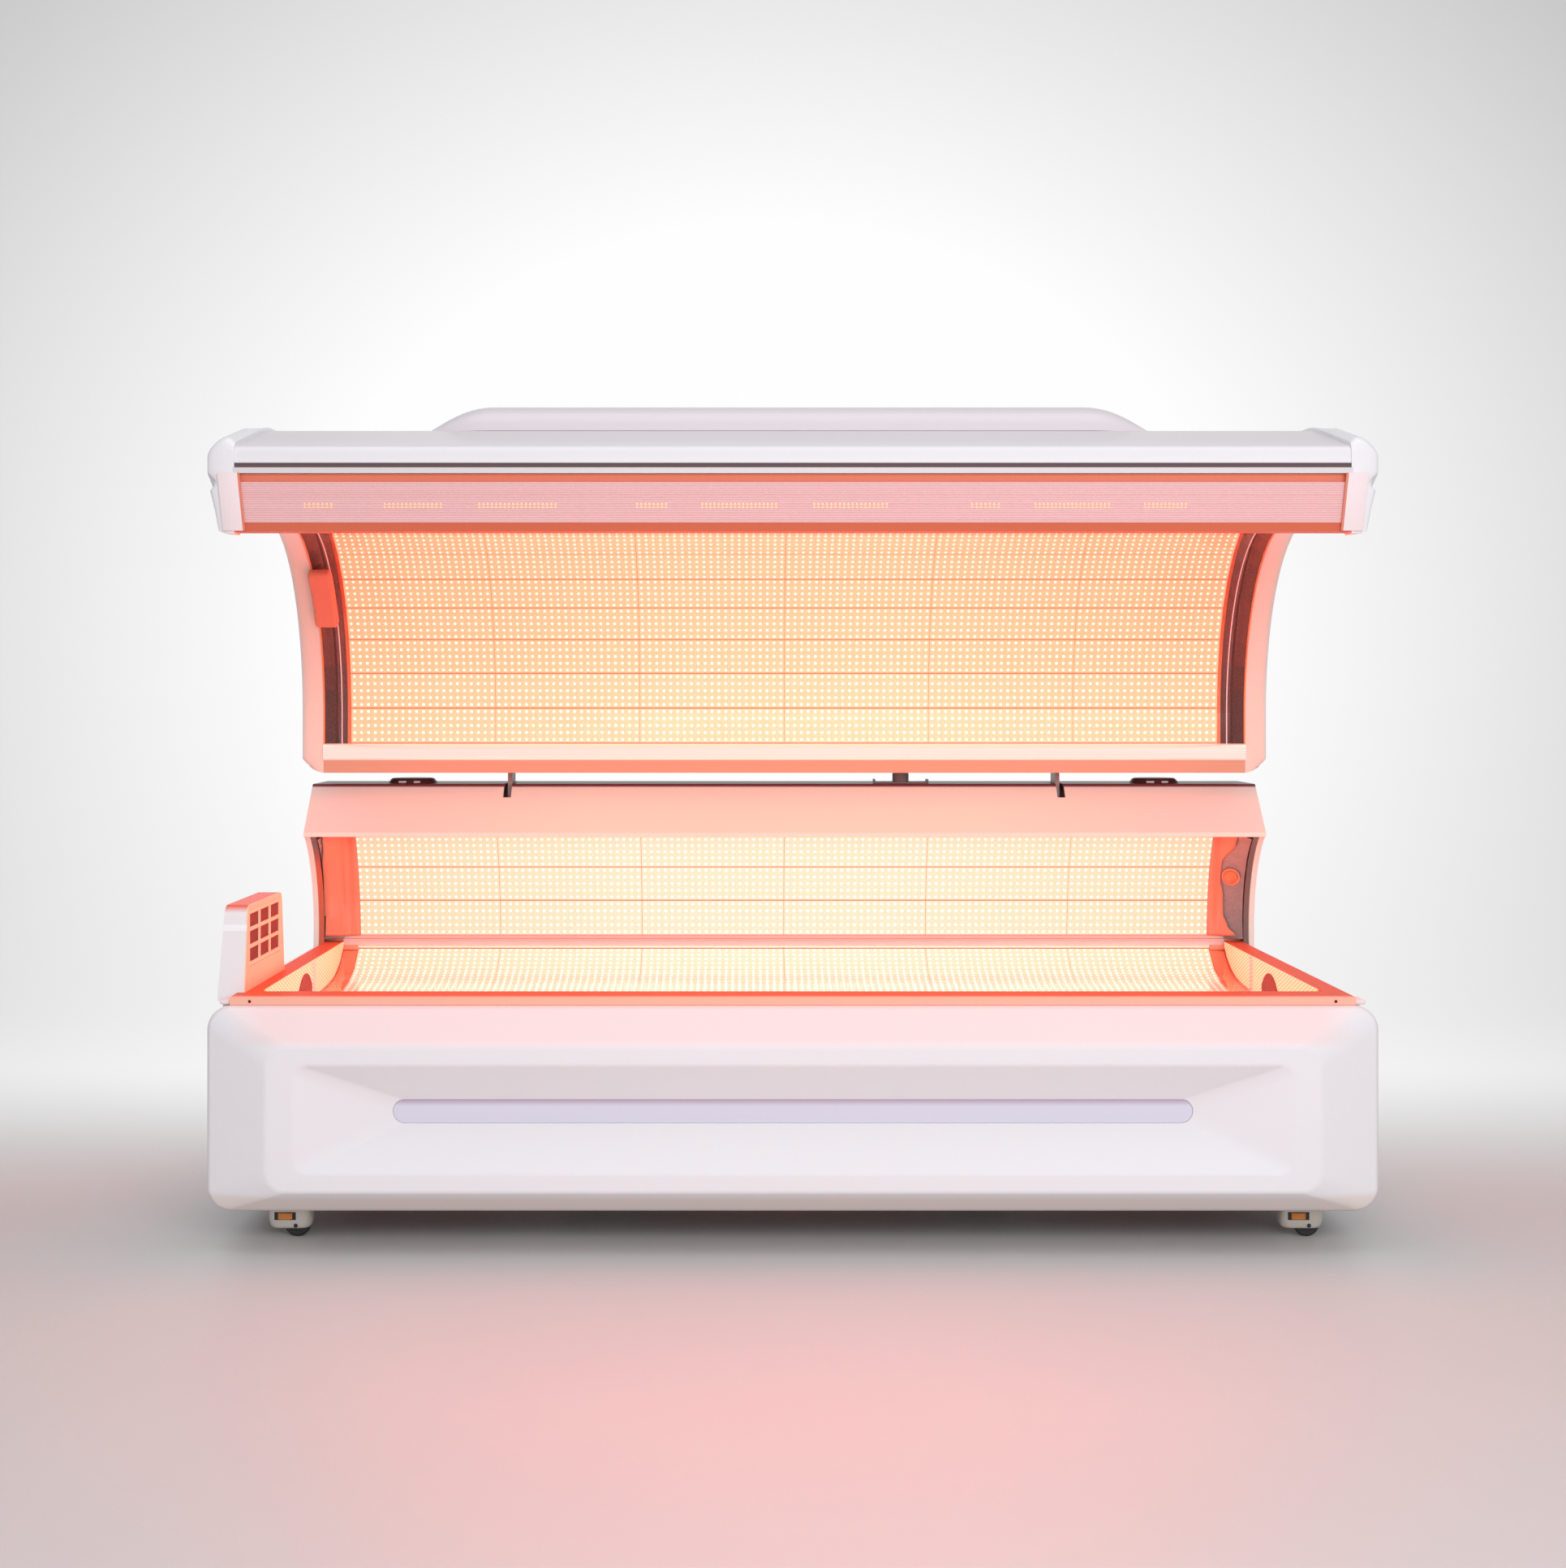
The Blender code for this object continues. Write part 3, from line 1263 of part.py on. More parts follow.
def canopy_grab(hinge):
    """The grab block at the head end, set on the edge of the left cap."""
    low = CANOPY_BOTTOM + GRAB_START
    high = CANOPY_BOTTOM + GRAB_END
    path = [point for point in arch_path(CANOPY_BOTTOM) if low < point.y < high]
    outline = band(path, -GRAB_THICKNESS, -FIT)
    outer = -CAP_INNER - GRAB_OVERLAP
    grab = side_section("canopy_grab_block", [outline], outer, outer + GRAB_WIDTH)
    soften(grab, GRAB_ROUND)
    attach(paint(grab, CORAL), hinge)


# Fan tower


def fan_tower():
    """The head-end fan box: a tapered shell open towards the bed, stepped over the rim, with a grille."""
    outer = -HALF_LENGTH + TOWER_OUTER_STEP
    inner = outer + TOWER_THICKNESS
    far = TOWER_FRONT + TOWER_LENGTH
    top = RIM_TOP + TOWER_RISE
    seat = RIM_BOTTOM
    corners = [
        (TOWER_FRONT, seat, 0),
        (far, seat, 0),
        (far - TOWER_TAPER, top, TOWER_ROUND),
        (TOWER_FRONT + TOWER_TAPER, top, TOWER_ROUND),
    ]
    shell = side_section("tower_shell", [rounded(corners, CORNER_STEPS, closed=True)], outer, inner)
    step_low = (-RIM_HALF - FIT, TOWER_FRONT - CUT_OVERRUN, seat - CUT_OVERRUN)
    cut(shell, block("tower_step", step_low, (inner + CUT_OVERRUN, far + CUT_OVERRUN, RIM_TOP + FIT)))
    back = outer + TOWER_FLARE
    flare = [
        (outer, RIM_TOP),
        (back, top),
        (back, top + CUT_OVERRUN),
        (outer - CUT_OVERRUN, top + CUT_OVERRUN),
        (outer - CUT_OVERRUN, RIM_TOP),
    ]
    cut(shell, front_section("tower_flare", [flare], TOWER_FRONT - CUT_OVERRUN, far + CUT_OVERRUN))
    floor = RIM_TOP + TOWER_FLOOR
    mouth_near = TOWER_FRONT + TOWER_TAPER + TOWER_WALL
    mouth_far = far - TOWER_TAPER - TOWER_WALL
    mouth_low = (back + TOWER_WALL, mouth_near, floor)
    mouth_high = (inner + CUT_OVERRUN, mouth_far, top - TOWER_WALL)
    cut(shell, block("tower_mouth", mouth_low, mouth_high))
    middle = (floor + top - TOWER_WALL) / 2
    hub_start = TOWER_WALL + FAN_STAND_OFF
    centre = (back, GRILLE_DEPTH, middle)
    post_end = hub_start + FAN_HUB_LENGTH / 2
    join(shell, rod("fan_post", FAN_POST_RADIUS, TOWER_WALL / 2, post_end, centre, (1, 0, 0)))
    paint(shell, WHITE)
    grille(inner, floor, top - TOWER_WALL, mouth_near, mouth_far)
    fan_rotor(centre, hub_start, post_end)


def grille(face, low, high, near, far):
    """The vent plate in the tower's mouth, with a square pattern of openings."""
    outlines = [rectangle(near + FIT, far - FIT, low + FIT, high - FIT)]
    length = (far - near - 2 * GRILLE_MARGIN_LENGTH + GRILLE_BAR) / GRILLE_COUNT
    height = (high - low - 2 * GRILLE_MARGIN_HEIGHT + GRILLE_BAR) / GRILLE_COUNT
    for column in range(GRILLE_COUNT):
        left = near + GRILLE_MARGIN_LENGTH + column * length
        for row in range(GRILLE_COUNT):
            bottom = low + GRILLE_MARGIN_HEIGHT + row * height
            top = bottom + height - GRILLE_BAR
            outlines.append(rectangle(left, left + length - GRILLE_BAR, bottom, top))
    start = face - GRILLE_THICKNESS
    paint(side_section("tower_grille", outlines, start - FIT, face - FIT), BLUSH)


def fan_rotor(centre, start, post_end):
    """The fan's hub and pitched blades, running on the post of the tower shell."""
    hub_end = start + FAN_HUB_LENGTH
    bore = FAN_POST_RADIUS + RUNNING_GAP
    profile = [
        (0, hub_end),
        (FAN_HUB_RADIUS, hub_end),
        (FAN_HUB_RADIUS, start),
        (bore, start),
        (bore, post_end + RUNNING_GAP),
        (0, post_end + RUNNING_GAP),
    ]
    rotor = turned("tower_fan_rotor", profile, centre, (1, 0, 0))
    reach = FAN_RADIUS - bore - RUNNING_GAP
    middle = start + FAN_HUB_LENGTH / 2
    work = bmesh.new()
    for blade in range(FAN_BLADES):
        spin = Matrix.Rotation(2 * math.pi * blade / FAN_BLADES, 4, "X")
        lift = Matrix.Translation((middle, 0, FAN_RADIUS - reach / 2))
        pitch = Matrix.Rotation(FAN_BLADE_PITCH, 4, "Z")
        size = Matrix.Diagonal((FAN_BLADE_THICKNESS, FAN_BLADE_CHORD, reach, 1))
        bmesh.ops.create_cube(work, size=1, matrix=spin @ lift @ pitch @ size)
    mesh = bpy.data.meshes.new("fan_blades")
    work.to_mesh(mesh)
    work.free()
    x, depth, height = centre
    join(rotor, place("fan_blades", mesh, (x, depth - ORIGIN_DEPTH, height)))
    bore_end = post_end + RUNNING_GAP
    cut(rotor, rod("fan_bore", bore, start - CUT_OVERRUN, bore_end, centre, (1, 0, 0)))
    paint(rotor, BLACK)


# Stop button


def button_seat():
    """Centre and outward direction of the button on the right polished strip."""
    inner, outer = rear_strip_paths()
    height = RIM_TOP + BUTTON_RISE
    spot = min(range(len(inner)), key=lambda index: abs(inner[index].y - height))
    near = Vector((BOARD_HALF + FIT, *inner[spot]))
    far = Vector((CHEEK_INNER - REFLECTOR_SHEET, *outer[spot]))
    above = Vector((BOARD_HALF + FIT, *inner[spot + 1])) - near
    facing = above.cross(far - near).normalized()
    if facing.y > 0:
        facing = -facing
    return near.lerp(far, BUTTON_SHARE), facing


def stop_button(strip):
    """A round push button in a threaded bezel, set square to the polished strip."""
    centre, facing = button_seat()
    rear = BEZEL_HEIGHT - BEZEL_LENGTH
    bore = BUTTON_RADIUS + RUNNING_GAP
    cut(strip, rod("button_hole", BEZEL_BODY_RADIUS + FIT, -CUT_OVERRUN, CUT_OVERRUN, centre, facing))
    bezel = [
        (BEZEL_RADIUS, BEZEL_HEIGHT),
        (BEZEL_RADIUS, BEZEL_SILL),
        (BEZEL_BODY_RADIUS, BEZEL_SILL),
        (BEZEL_BODY_RADIUS, rear),
        (bore, rear),
        (bore, BEZEL_HEIGHT),
    ]
    paint(turned("stop_button_bezel", bezel, centre, facing, closed=True), ALUMINIUM)
    top = BEZEL_HEIGHT + BUTTON_TRAVEL + FIT
    low = top - BUTTON_HEIGHT
    edge = BUTTON_TRAVEL / 2
    cap = [
        (0, top),
        (BUTTON_RADIUS - edge, top),
        (BUTTON_RADIUS, top - edge),
        (BUTTON_RADIUS, low),
        (0, low),
    ]
    paint(turned("stop_button", cap, centre, facing), ORANGE)


# Electrics


def electrics():
    """LED drivers on the cross members and the control box on the front rail."""
    length, depth, height = DRIVER_SIZE
    seat = CHASSIS_TOP + FIT
    near = (CHASSIS_FRONT + REAR_INNER - depth) / 2
    for name, side in SIDES:
        left = side * CROSS_MEMBER_OFFSET - length / 2
        high = (left + length, near + depth, seat + height)
        paint(block(f"{name}_led_driver", (left, near, seat), high), STEEL)
    length, depth, height = CONTROL_BOX_SIZE
    left = CONTROL_BOX_OFFSET - length / 2
    near = CHASSIS_FRONT + CHASSIS_WALL
    box = block("control_box", (left, near, seat), (left + length, near + depth, seat + height))
    paint(box, BLACK)


# Castors


def hood_mesh():
    """The castor hood: a rounded casting with a wheel pocket, a dial chamber and a window onto the dial."""
    rear = WHEEL_TRAIL + WHEEL_RADIUS + WHEEL_CLEARANCE + HOOD_SIDE_CLEARANCE
    half = HOOD_WIDTH / 2
    lift = Vector((0, ORIGIN_DEPTH, 0))
    centre = (0, ORIGIN_DEPTH, 0)
    up = (0, 0, 1)
    hood_low = lift + Vector((-HOOD_FRONT, -half, HOOD_LIFT))
    hood = block("hood", hood_low, lift + Vector((rear, half, HOOD_TOP)), HOOD_ROUND)
    join(hood, rod("hood_plate", SWIVEL_PLATE_RADIUS, HOOD_TOP - HOOD_ROOF / 2, CASTOR_TOP, centre, up))
    chamber = [
        (DIAL_RADIUS + RUNNING_GAP, DIAL_TOP + RUNNING_GAP),
        (DIAL_RADIUS + RUNNING_GAP, DIAL_BOTTOM - RUNNING_GAP),
        (DIAL_POST_RADIUS, DIAL_BOTTOM - RUNNING_GAP),
        (DIAL_POST_RADIUS, DIAL_TOP + RUNNING_GAP),
    ]
    cut(hood, turned("hood_chamber", chamber, centre, up, closed=True))
    window = DIAL_WINDOW / 2
    window_low = lift + Vector((-window, -half - CUT_OVERRUN, DIAL_BOTTOM))
    cut(hood, block("hood_window", window_low, lift + Vector((window, -DIAL_RADIUS / 2, DIAL_TOP))))
    pocket = WHEEL_WIDTH / 2 + HOOD_SIDE_CLEARANCE
    start = WHEEL_TRAIL - WHEEL_RADIUS - WHEEL_CLEARANCE
    pocket_low = lift + Vector((start, -pocket, HOOD_LIFT - CUT_OVERRUN))
    roof = 2 * WHEEL_RADIUS + WHEEL_CLEARANCE / 2
    pocket_high = lift + Vector((rear - HOOD_SIDE_CLEARANCE, pocket, roof))
    cut(hood, block("hood_pocket", pocket_low, pocket_high))
    axle = (WHEEL_TRAIL, ORIGIN_DEPTH, WHEEL_RADIUS)
    reach = half + CUT_OVERRUN
    cut(hood, rod("hood_axle", AXLE_RADIUS + FIT, -reach, reach, axle, (0, 1, 0)))
    mesh = baked(hood)
    bpy.data.objects.remove(hood)
    return mesh


def castors():
    """Four levelling castors, each with a swivelling hood, a wheel on its axle and a dial."""
    shared = hood_mesh()
    half = WHEEL_WIDTH / 2
    tread = WHEEL_RADIUS - WHEEL_EDGE
    axle = HOOD_WIDTH / 2
    wheel_profile = [
        (0, axle),
        (AXLE_RADIUS, axle),
        (AXLE_RADIUS, half),
        (tread, half),
        (WHEEL_RADIUS, half - WHEEL_EDGE),
        (WHEEL_RADIUS, WHEEL_EDGE - half),
        (tread, -half),
        (AXLE_RADIUS, -half),
        (AXLE_RADIUS, -axle),
        (0, -axle),
    ]
    dial_profile = [
        (DIAL_RADIUS, DIAL_TOP),
        (DIAL_RADIUS, DIAL_BOTTOM),
        (DIAL_POST_RADIUS + RUNNING_GAP, DIAL_BOTTOM),
        (DIAL_POST_RADIUS + RUNNING_GAP, DIAL_TOP),
    ]
    for end, depth in (("front", CASTOR_FRONT), ("rear", BASE_DEPTH - CASTOR_REAR)):
        for name, side in SIDES:
            tag = f"{end}_{name}_castor"
            across = side * CASTOR_OFFSET
            hood = place(f"{tag}_hood", shared.copy(), (across, depth - ORIGIN_DEPTH, 0))
            paint(hood, HOOD_GREY)
            hub = (across + WHEEL_TRAIL, depth, WHEEL_RADIUS)
            attach(paint(turned(f"{tag}_wheel", wheel_profile, hub, (0, 1, 0)), BLACK), hood)
            dial = turned(f"{tag}_dial", dial_profile, (across, depth, 0), (0, 0, 1), closed=True)
            attach(paint(dial, ORANGE), hood)


# Assembly


def build_base():
    front_panel()
    light_bar()
    end_panels()
    rear_cover()
    mains_inlet()
    bed_rim()
    bed_acrylic()
    bed_boards()
    seam_rail()
    rear_boards()
    chassis()
    visor()
    cheeks()
    strips = rear_strips()
    vent_caps()
    cable_spout()
    hinge_mounts()
    fan_tower()
    stop_button(strips["right"])
    electrics()
    castors()


def build_canopy():
    hinge = pivot("canopy_hinge", (0, PIVOT_DEPTH - ORIGIN_DEPTH, HINGE_HEIGHT))
    hinge_arms(hinge)
    canopy_shell(hinge)
    canopy_top_cover(hinge)
    canopy_caps(hinge)
    canopy_lip(hinge)
    canopy_trim(hinge)
    canopy_lower_rail(hinge)
    canopy_boards(hinge)
    canopy_acrylic(hinge)
    canopy_strips(hinge)
    canopy_grab(hinge)


build_base()
build_canopy()
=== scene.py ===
"""The looks of the red light therapy bed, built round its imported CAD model."""

import math

import bmesh
import bpy
from mathutils import Matrix, Vector


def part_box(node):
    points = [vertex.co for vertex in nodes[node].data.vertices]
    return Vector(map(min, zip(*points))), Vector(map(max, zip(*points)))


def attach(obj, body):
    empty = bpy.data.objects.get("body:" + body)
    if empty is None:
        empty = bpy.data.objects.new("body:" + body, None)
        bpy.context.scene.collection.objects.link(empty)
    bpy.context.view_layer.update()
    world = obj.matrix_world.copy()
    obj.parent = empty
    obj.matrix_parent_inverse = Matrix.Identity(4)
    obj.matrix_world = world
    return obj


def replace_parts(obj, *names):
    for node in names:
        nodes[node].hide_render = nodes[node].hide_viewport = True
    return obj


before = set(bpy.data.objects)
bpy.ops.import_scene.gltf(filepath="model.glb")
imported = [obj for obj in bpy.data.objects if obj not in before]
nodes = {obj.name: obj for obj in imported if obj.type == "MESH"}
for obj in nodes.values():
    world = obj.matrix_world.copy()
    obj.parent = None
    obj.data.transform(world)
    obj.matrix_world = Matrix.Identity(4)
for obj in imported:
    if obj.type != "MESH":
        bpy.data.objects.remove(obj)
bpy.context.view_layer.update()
SIDES = (("left", -1), ("right", 1))
CASTORS = ("front_left", "front_right", "rear_left", "rear_right")

# LED boards, in metres
BOARD_COLUMNS = 6
LEDS_ACROSS = 21
LEDS_UP = 5
BED_ROW = 0.0775
REAR_ROW = 0.0830
CANOPY_ROW = 0.0805
ROW_GAP = 0.0030
COLUMN_GAP = 0.0010
BOARD_THICKNESS = 0.0016
LED_RADIUS = 0.0034
LED_TOP_RADIUS = 0.0023
LED_HEIGHT = 0.0020
LED_SIDES = 8

# Camera, fitted to the photograph
PHOTO_HEIGHT = 1932
FOCAL_PIXELS = 2892
CAMERA_PLACE = (-0.09, -4.975, 1.035)
HORIZON_SHIFT = -106 / PHOTO_HEIGHT
SIDE_SHIFT = 47 / PHOTO_HEIGHT


# Node groups that several finishes share

PEEL_SCALE = 260.0
SKIN_RELIEF = 0.0004
LINE_RELIEF = 0.0001
COAT_ROUGHNESS = 0.08


def new_group(name, inputs, outputs):
    """A shader group with its named inputs, where a tuple is a colour, and its named outputs."""
    group = bpy.data.node_groups.new(name, "ShaderNodeTree")
    for title, value in inputs.items():
        kind = "NodeSocketColor" if isinstance(value, tuple) else "NodeSocketFloat"
        made = group.interface.new_socket(name=title, in_out="INPUT", socket_type=kind)
        made.default_value = value
    for title in outputs:
        kind = "NodeSocketColor" if title == "Colour" else "NodeSocketFloat"
        group.interface.new_socket(name=title, in_out="OUTPUT", socket_type=kind)
    return group, group.nodes.new("NodeGroupInput"), group.nodes.new("NodeGroupOutput")


def add(tree, kind, **values):
    """A node of a kind, with its settings and its plain input values."""
    node = tree.nodes.new(kind)
    for name, value in values.items():
        if name in node.inputs:
            node.inputs[name].default_value = value
        else:
            setattr(node, name, value)
    return node


def plug(tree, spot, value):
    """An input fed by another node, or set to a plain value."""
    if isinstance(value, bpy.types.NodeSocket):
        tree.links.new(value, spot)
    else:
        spot.default_value = value


def noise(tree, place, scale, detail=3.0, roughness=0.5):
    node = add(tree, "ShaderNodeTexNoise", Scale=scale, Detail=detail, Roughness=roughness)
    tree.links.new(place, node.inputs["Vector"])
    return node.outputs["Fac"]


def stretched(tree, place, scale, turn=(0, 0, 0)):
    node = add(tree, "ShaderNodeMapping", Scale=scale, Rotation=turn)
    tree.links.new(place, node.inputs["Vector"])
    return node.outputs["Vector"]


def spread(tree, value, low, high, to_low=0, to_high=1, **settings):
    """A value mapped from one range to another."""
    node = add(tree, "ShaderNodeMapRange", **settings)
    names = ("Value", "From Min", "From Max", "To Min", "To Max")
    for name, limit in zip(names, (value, low, high, to_low, to_high)):
        plug(tree, node.inputs[name], limit)
    return node.outputs["Result"]


def calculate(tree, operation, first, second=0):
    node = add(tree, "ShaderNodeMath", operation=operation)
    plug(tree, node.inputs[0], first)
    plug(tree, node.inputs[1], second)
    return node.outputs["Value"]


def blend_colours(tree, share, first, second):
    node = add(tree, "ShaderNodeMix", data_type="RGBA")
    for spot, value in ((0, share), (6, first), (7, second)):
        plug(tree, node.inputs[spot], value)
    return node.outputs[2]


def object_place(tree):
    return add(tree, "ShaderNodeTexCoord").outputs["Object"]


def split(tree, place):
    """The outputs X, Y and Z of a place."""
    node = add(tree, "ShaderNodeSeparateXYZ")
    tree.links.new(place, node.inputs[0])
    return node.outputs


def moulded_skin_group():
    """Injection-moulded plastic: slow tone drift, uneven gloss and an orange-peel skin."""
    inputs = {
        "Colour": (0.8, 0.8, 0.8, 1),
        "Second Colour": (0.7, 0.7, 0.7, 1),
        "Gloss Low": 0.2,
        "Gloss High": 0.35,
    }
    group, ends, result = new_group("moulded_skin", inputs, ("Colour", "Roughness", "Height"))
    place = object_place(group)
    drift = noise(group, place, 1.3, 1)
    colour = blend_colours(group, drift, ends.outputs["Colour"], ends.outputs["Second Colour"])
    haze = noise(group, place, 3.0, 1)
    rough = spread(group, haze, 0, 1, ends.outputs["Gloss Low"], ends.outputs["Gloss High"])
    peel = noise(group, place, PEEL_SCALE, 1.5, 0.4)
    group.links.new(colour, result.inputs["Colour"])
    group.links.new(rough, result.inputs["Roughness"])
    group.links.new(peel, result.inputs["Height"])
    return group


def drawn_metal_group():
    """Metal drawn along X: fine lines in colour, gloss and height, with a few handling marks."""
    inputs = {
        "Colour": (0.7, 0.7, 0.7, 1),
        "Second Colour": (0.5, 0.5, 0.5, 1),
        "Gloss Low": 0.2,
        "Gloss High": 0.4,
    }
    group, ends, result = new_group("drawn_metal", inputs, ("Colour", "Roughness", "Height"))
    place = object_place(group)
    lines = noise(group, stretched(group, place, (0.6, 420, 420)), 1.0, 2)
    marks = noise(group, stretched(group, place, (1.5, 6, 6)), 1.0, 3)
    share = spread(group, lines, 0.35, 0.65)
    colour = blend_colours(group, share, ends.outputs["Colour"], ends.outputs["Second Colour"])
    rough = spread(group, marks, 0.3, 0.7, ends.outputs["Gloss Low"], ends.outputs["Gloss High"])
    group.links.new(colour, result.inputs["Colour"])
    group.links.new(rough, result.inputs["Roughness"])
    group.links.new(lines, result.inputs["Height"])
    return group


def lit_boards_group():
    """How the boards glow: palest towards the middle of the length, a painted bloom, and warmer at the ends.
    """
    inputs = {"Middle": (1.0, 0.8, 0.6, 1), "Ends": (1.0, 0.5, 0.3, 1)}
    group, ends, result = new_group("board_glow", inputs, ("Colour",))
    place = object_place(group)
    reach = calculate(group, "ABSOLUTE", split(group, place)["X"])
    cloud = spread(group, noise(group, place, 1.7, 2), 0.2, 0.8, -0.18, 0.18)
    # painted bloom: the glow turns paler towards the middle of the length
    share = spread(group, calculate(group, "ADD", reach, cloud), 0.25, 1.0)
    colour = blend_colours(group, share, ends.outputs["Middle"], ends.outputs["Ends"])
    group.links.new(colour, result.inputs["Colour"])
    return group


MOULDED_SKIN = moulded_skin_group()
DRAWN_METAL = drawn_metal_group()
BOARD_GLOW = lit_boards_group()


# Finishes


def new_material(name):
    material = bpy.data.materials.new(name)
    material.use_nodes = True
    tree = material.node_tree
    return material, tree, tree.nodes["Principled BSDF"]


def put_group(tree, group, values):
    node = tree.nodes.new("ShaderNodeGroup")
    node.node_tree = group
    for name, value in values.items():
        node.inputs[name].default_value = value
    return node


def mixed_surface(tree, share, first, second):
    """The material's surface: one shader that turns to another by a share."""
    mixer = tree.nodes.new("ShaderNodeMixShader")
    for spot, source in enumerate((share, first.outputs[0], second.outputs[0])):
        tree.links.new(source, mixer.inputs[spot])
    tree.links.new(mixer.outputs[0], tree.nodes["Material Output"].inputs["Surface"])


def skinned(name, group, relief, colour, second, gloss, bump, metallic=0.0, coat=0.0):
    """A finish whose colour, gloss and relief come from a shared group."""
    material, tree, shader = new_material(name)
    values = {
        "Colour": (*colour, 1),
        "Second Colour": (*second, 1),
        "Gloss Low": gloss[0],
        "Gloss High": gloss[1],
    }
    node = put_group(tree, group, values)
    tree.links.new(node.outputs["Colour"], shader.inputs["Base Color"])
    tree.links.new(node.outputs["Roughness"], shader.inputs["Roughness"])
    shader.inputs["Metallic"].default_value = metallic
    shader.inputs["Coat Weight"].default_value = coat
    shader.inputs["Coat Roughness"].default_value = COAT_ROUGHNESS
    ridges = add(tree, "ShaderNodeBump", Strength=bump, Distance=relief)
    tree.links.new(node.outputs["Height"], ridges.inputs["Height"])
    tree.links.new(ridges.outputs["Normal"], shader.inputs["Normal"])
    return material


def moulded(name, colour, drift, gloss, bump=0.03, **more):
    return skinned(name, MOULDED_SKIN, SKIN_RELIEF, colour, drift, gloss, bump, **more)


def drawn(name, colour, line, gloss, metallic, bump=0.03):
    return skinned(name, DRAWN_METAL, LINE_RELIEF, colour, line, gloss, bump, metallic)


def glowing_board(name, middle, ends, base):
    """Board or diode lit from within, brighter in red than a screen can show."""
    material, tree, shader = new_material(name)
    glow = put_group(tree, BOARD_GLOW, {"Middle": (*middle, 1), "Ends": (*ends, 1)})
    tree.links.new(glow.outputs["Colour"], shader.inputs["Emission Color"])
    shader.inputs["Emission Strength"].default_value = 1.0
    shader.inputs["Base Color"].default_value = (*base, 1)
    shader.inputs["Roughness"].default_value = 0.5
    return material


def clear_acrylic(name, tint, index):
    """Clear sheet that lets the light of the boards through."""
    material, tree, shader = new_material(name)
    shader.inputs["Base Color"].default_value = (*tint, 1)
    shader.inputs["Transmission Weight"].default_value = 1.0
    shader.inputs["IOR"].default_value = index
    smears = noise(tree, stretched(tree, object_place(tree), (2, 5, 5), (0, 0, 0.4)), 1.5, 4)
    tree.links.new(spread(tree, smears, 0.35, 0.7, 0.015, 0.07), shader.inputs["Roughness"])
    rays = tree.nodes.new("ShaderNodeLightPath")
    through = tree.nodes.new("ShaderNodeBsdfTransparent")
    mixed_surface(tree, rays.outputs["Is Shadow Ray"], shader, through)
    return material


WHITE_MOULDING = moulded("white_moulding", (0.84, 0.825, 0.85), (0.82, 0.805, 0.83), (0.29, 0.34), coat=0.2)
BLUSH_PLASTIC = moulded("blush_plastic", (0.87, 0.83, 0.73), (0.86, 0.80, 0.70), (0.30, 0.34), 0.04, coat=0.1)
CORAL_PLASTIC = moulded("coral_plastic", (0.80, 0.24, 0.15), (0.78, 0.20, 0.12), (0.29, 0.36), 0.04)
CORAL_GLOSS = moulded("coral_gloss", (0.78, 0.25, 0.15), (0.74, 0.22, 0.13), (0.16, 0.22), coat=0.3)
RIM_CORAL = moulded("rim_coral", (0.66, 0.14, 0.07), (0.62, 0.12, 0.06), (0.45, 0.55), 0.04)
BUTTON_CORAL = moulded("button_coral", (0.85, 0.20, 0.08), (0.80, 0.17, 0.07), (0.12, 0.16), coat=0.6)
SEAM_ORANGE = moulded("seam_orange", (0.90, 0.26, 0.09), (0.86, 0.23, 0.08), (0.35, 0.4))
SEAM_ROSE = moulded("seam_rose", (0.74, 0.50, 0.46), (0.72, 0.47, 0.43), (0.3, 0.35))
ARM_ROSE = moulded("arm_rose", (0.66, 0.48, 0.45), (0.60, 0.42, 0.40), (0.35, 0.45), 0.05)
NOSE_BLUSH = moulded("nose_blush", (0.88, 0.74, 0.75), (0.86, 0.71, 0.72), (0.28, 0.34))
# painted glow: the grille peach, standing in for the boards' light on the tower's side towards the bed
GRILLE_PEACH_GLOW = moulded("grille_peach_glow", (0.93, 0.70, 0.50), (0.91, 0.66, 0.46), (0.3, 0.36), 0.04)
VENT_PLUM = moulded("vent_plum", (0.15, 0.055, 0.058), (0.13, 0.045, 0.05), (0.3, 0.36))
PORT_RED = moulded("port_red", (0.17, 0.004, 0.008), (0.12, 0.003, 0.006), (0.35, 0.45))
# painted shade: a dark red sheet that stands in for the shaded, red-lit inside of the tower's vents
VENT_SHADE_RED = moulded("vent_shade_red", (0.17, 0.016, 0.022), (0.13, 0.012, 0.016), (0.6, 0.7), 0.1)
GROOVE_SHADE = moulded("groove_shade", (0.13, 0.075, 0.08), (0.11, 0.065, 0.07), (0.5, 0.6))
STRIPE_WHITE = moulded("stripe_white", (0.95, 0.94, 0.95), (0.93, 0.92, 0.93), (0.3, 0.36))
BOARD_TRAY = moulded("board_tray", (0.75, 0.17, 0.07), (0.70, 0.14, 0.06), (0.4, 0.5))
PAINTED_STEEL = moulded("painted_steel", (0.30, 0.27, 0.27), (0.25, 0.22, 0.22), (0.35, 0.5), 0.25)
HOOD_METAL = moulded("castor_hood", (0.78, 0.73, 0.66), (0.68, 0.63, 0.56), (0.29, 0.4), 0.2, metallic=0.35)
BLACK_PLASTIC = moulded("black_plastic", (0.022, 0.021, 0.022), (0.035, 0.033, 0.033), (0.4, 0.6), 0.3)
ORANGE_PLASTIC = moulded("orange_plastic", (0.78, 0.28, 0.05), (0.68, 0.22, 0.04), (0.3, 0.45), 0.1)
ALUMINIUM = drawn("ribbed_aluminium", (0.94, 0.60, 0.60), (0.90, 0.55, 0.55), (0.36, 0.42), 0.2, 0.04)
SILVER_TRIM = drawn("silver_trim", (0.88, 0.84, 0.85), (0.85, 0.80, 0.81), (0.2, 0.26), 0.4)
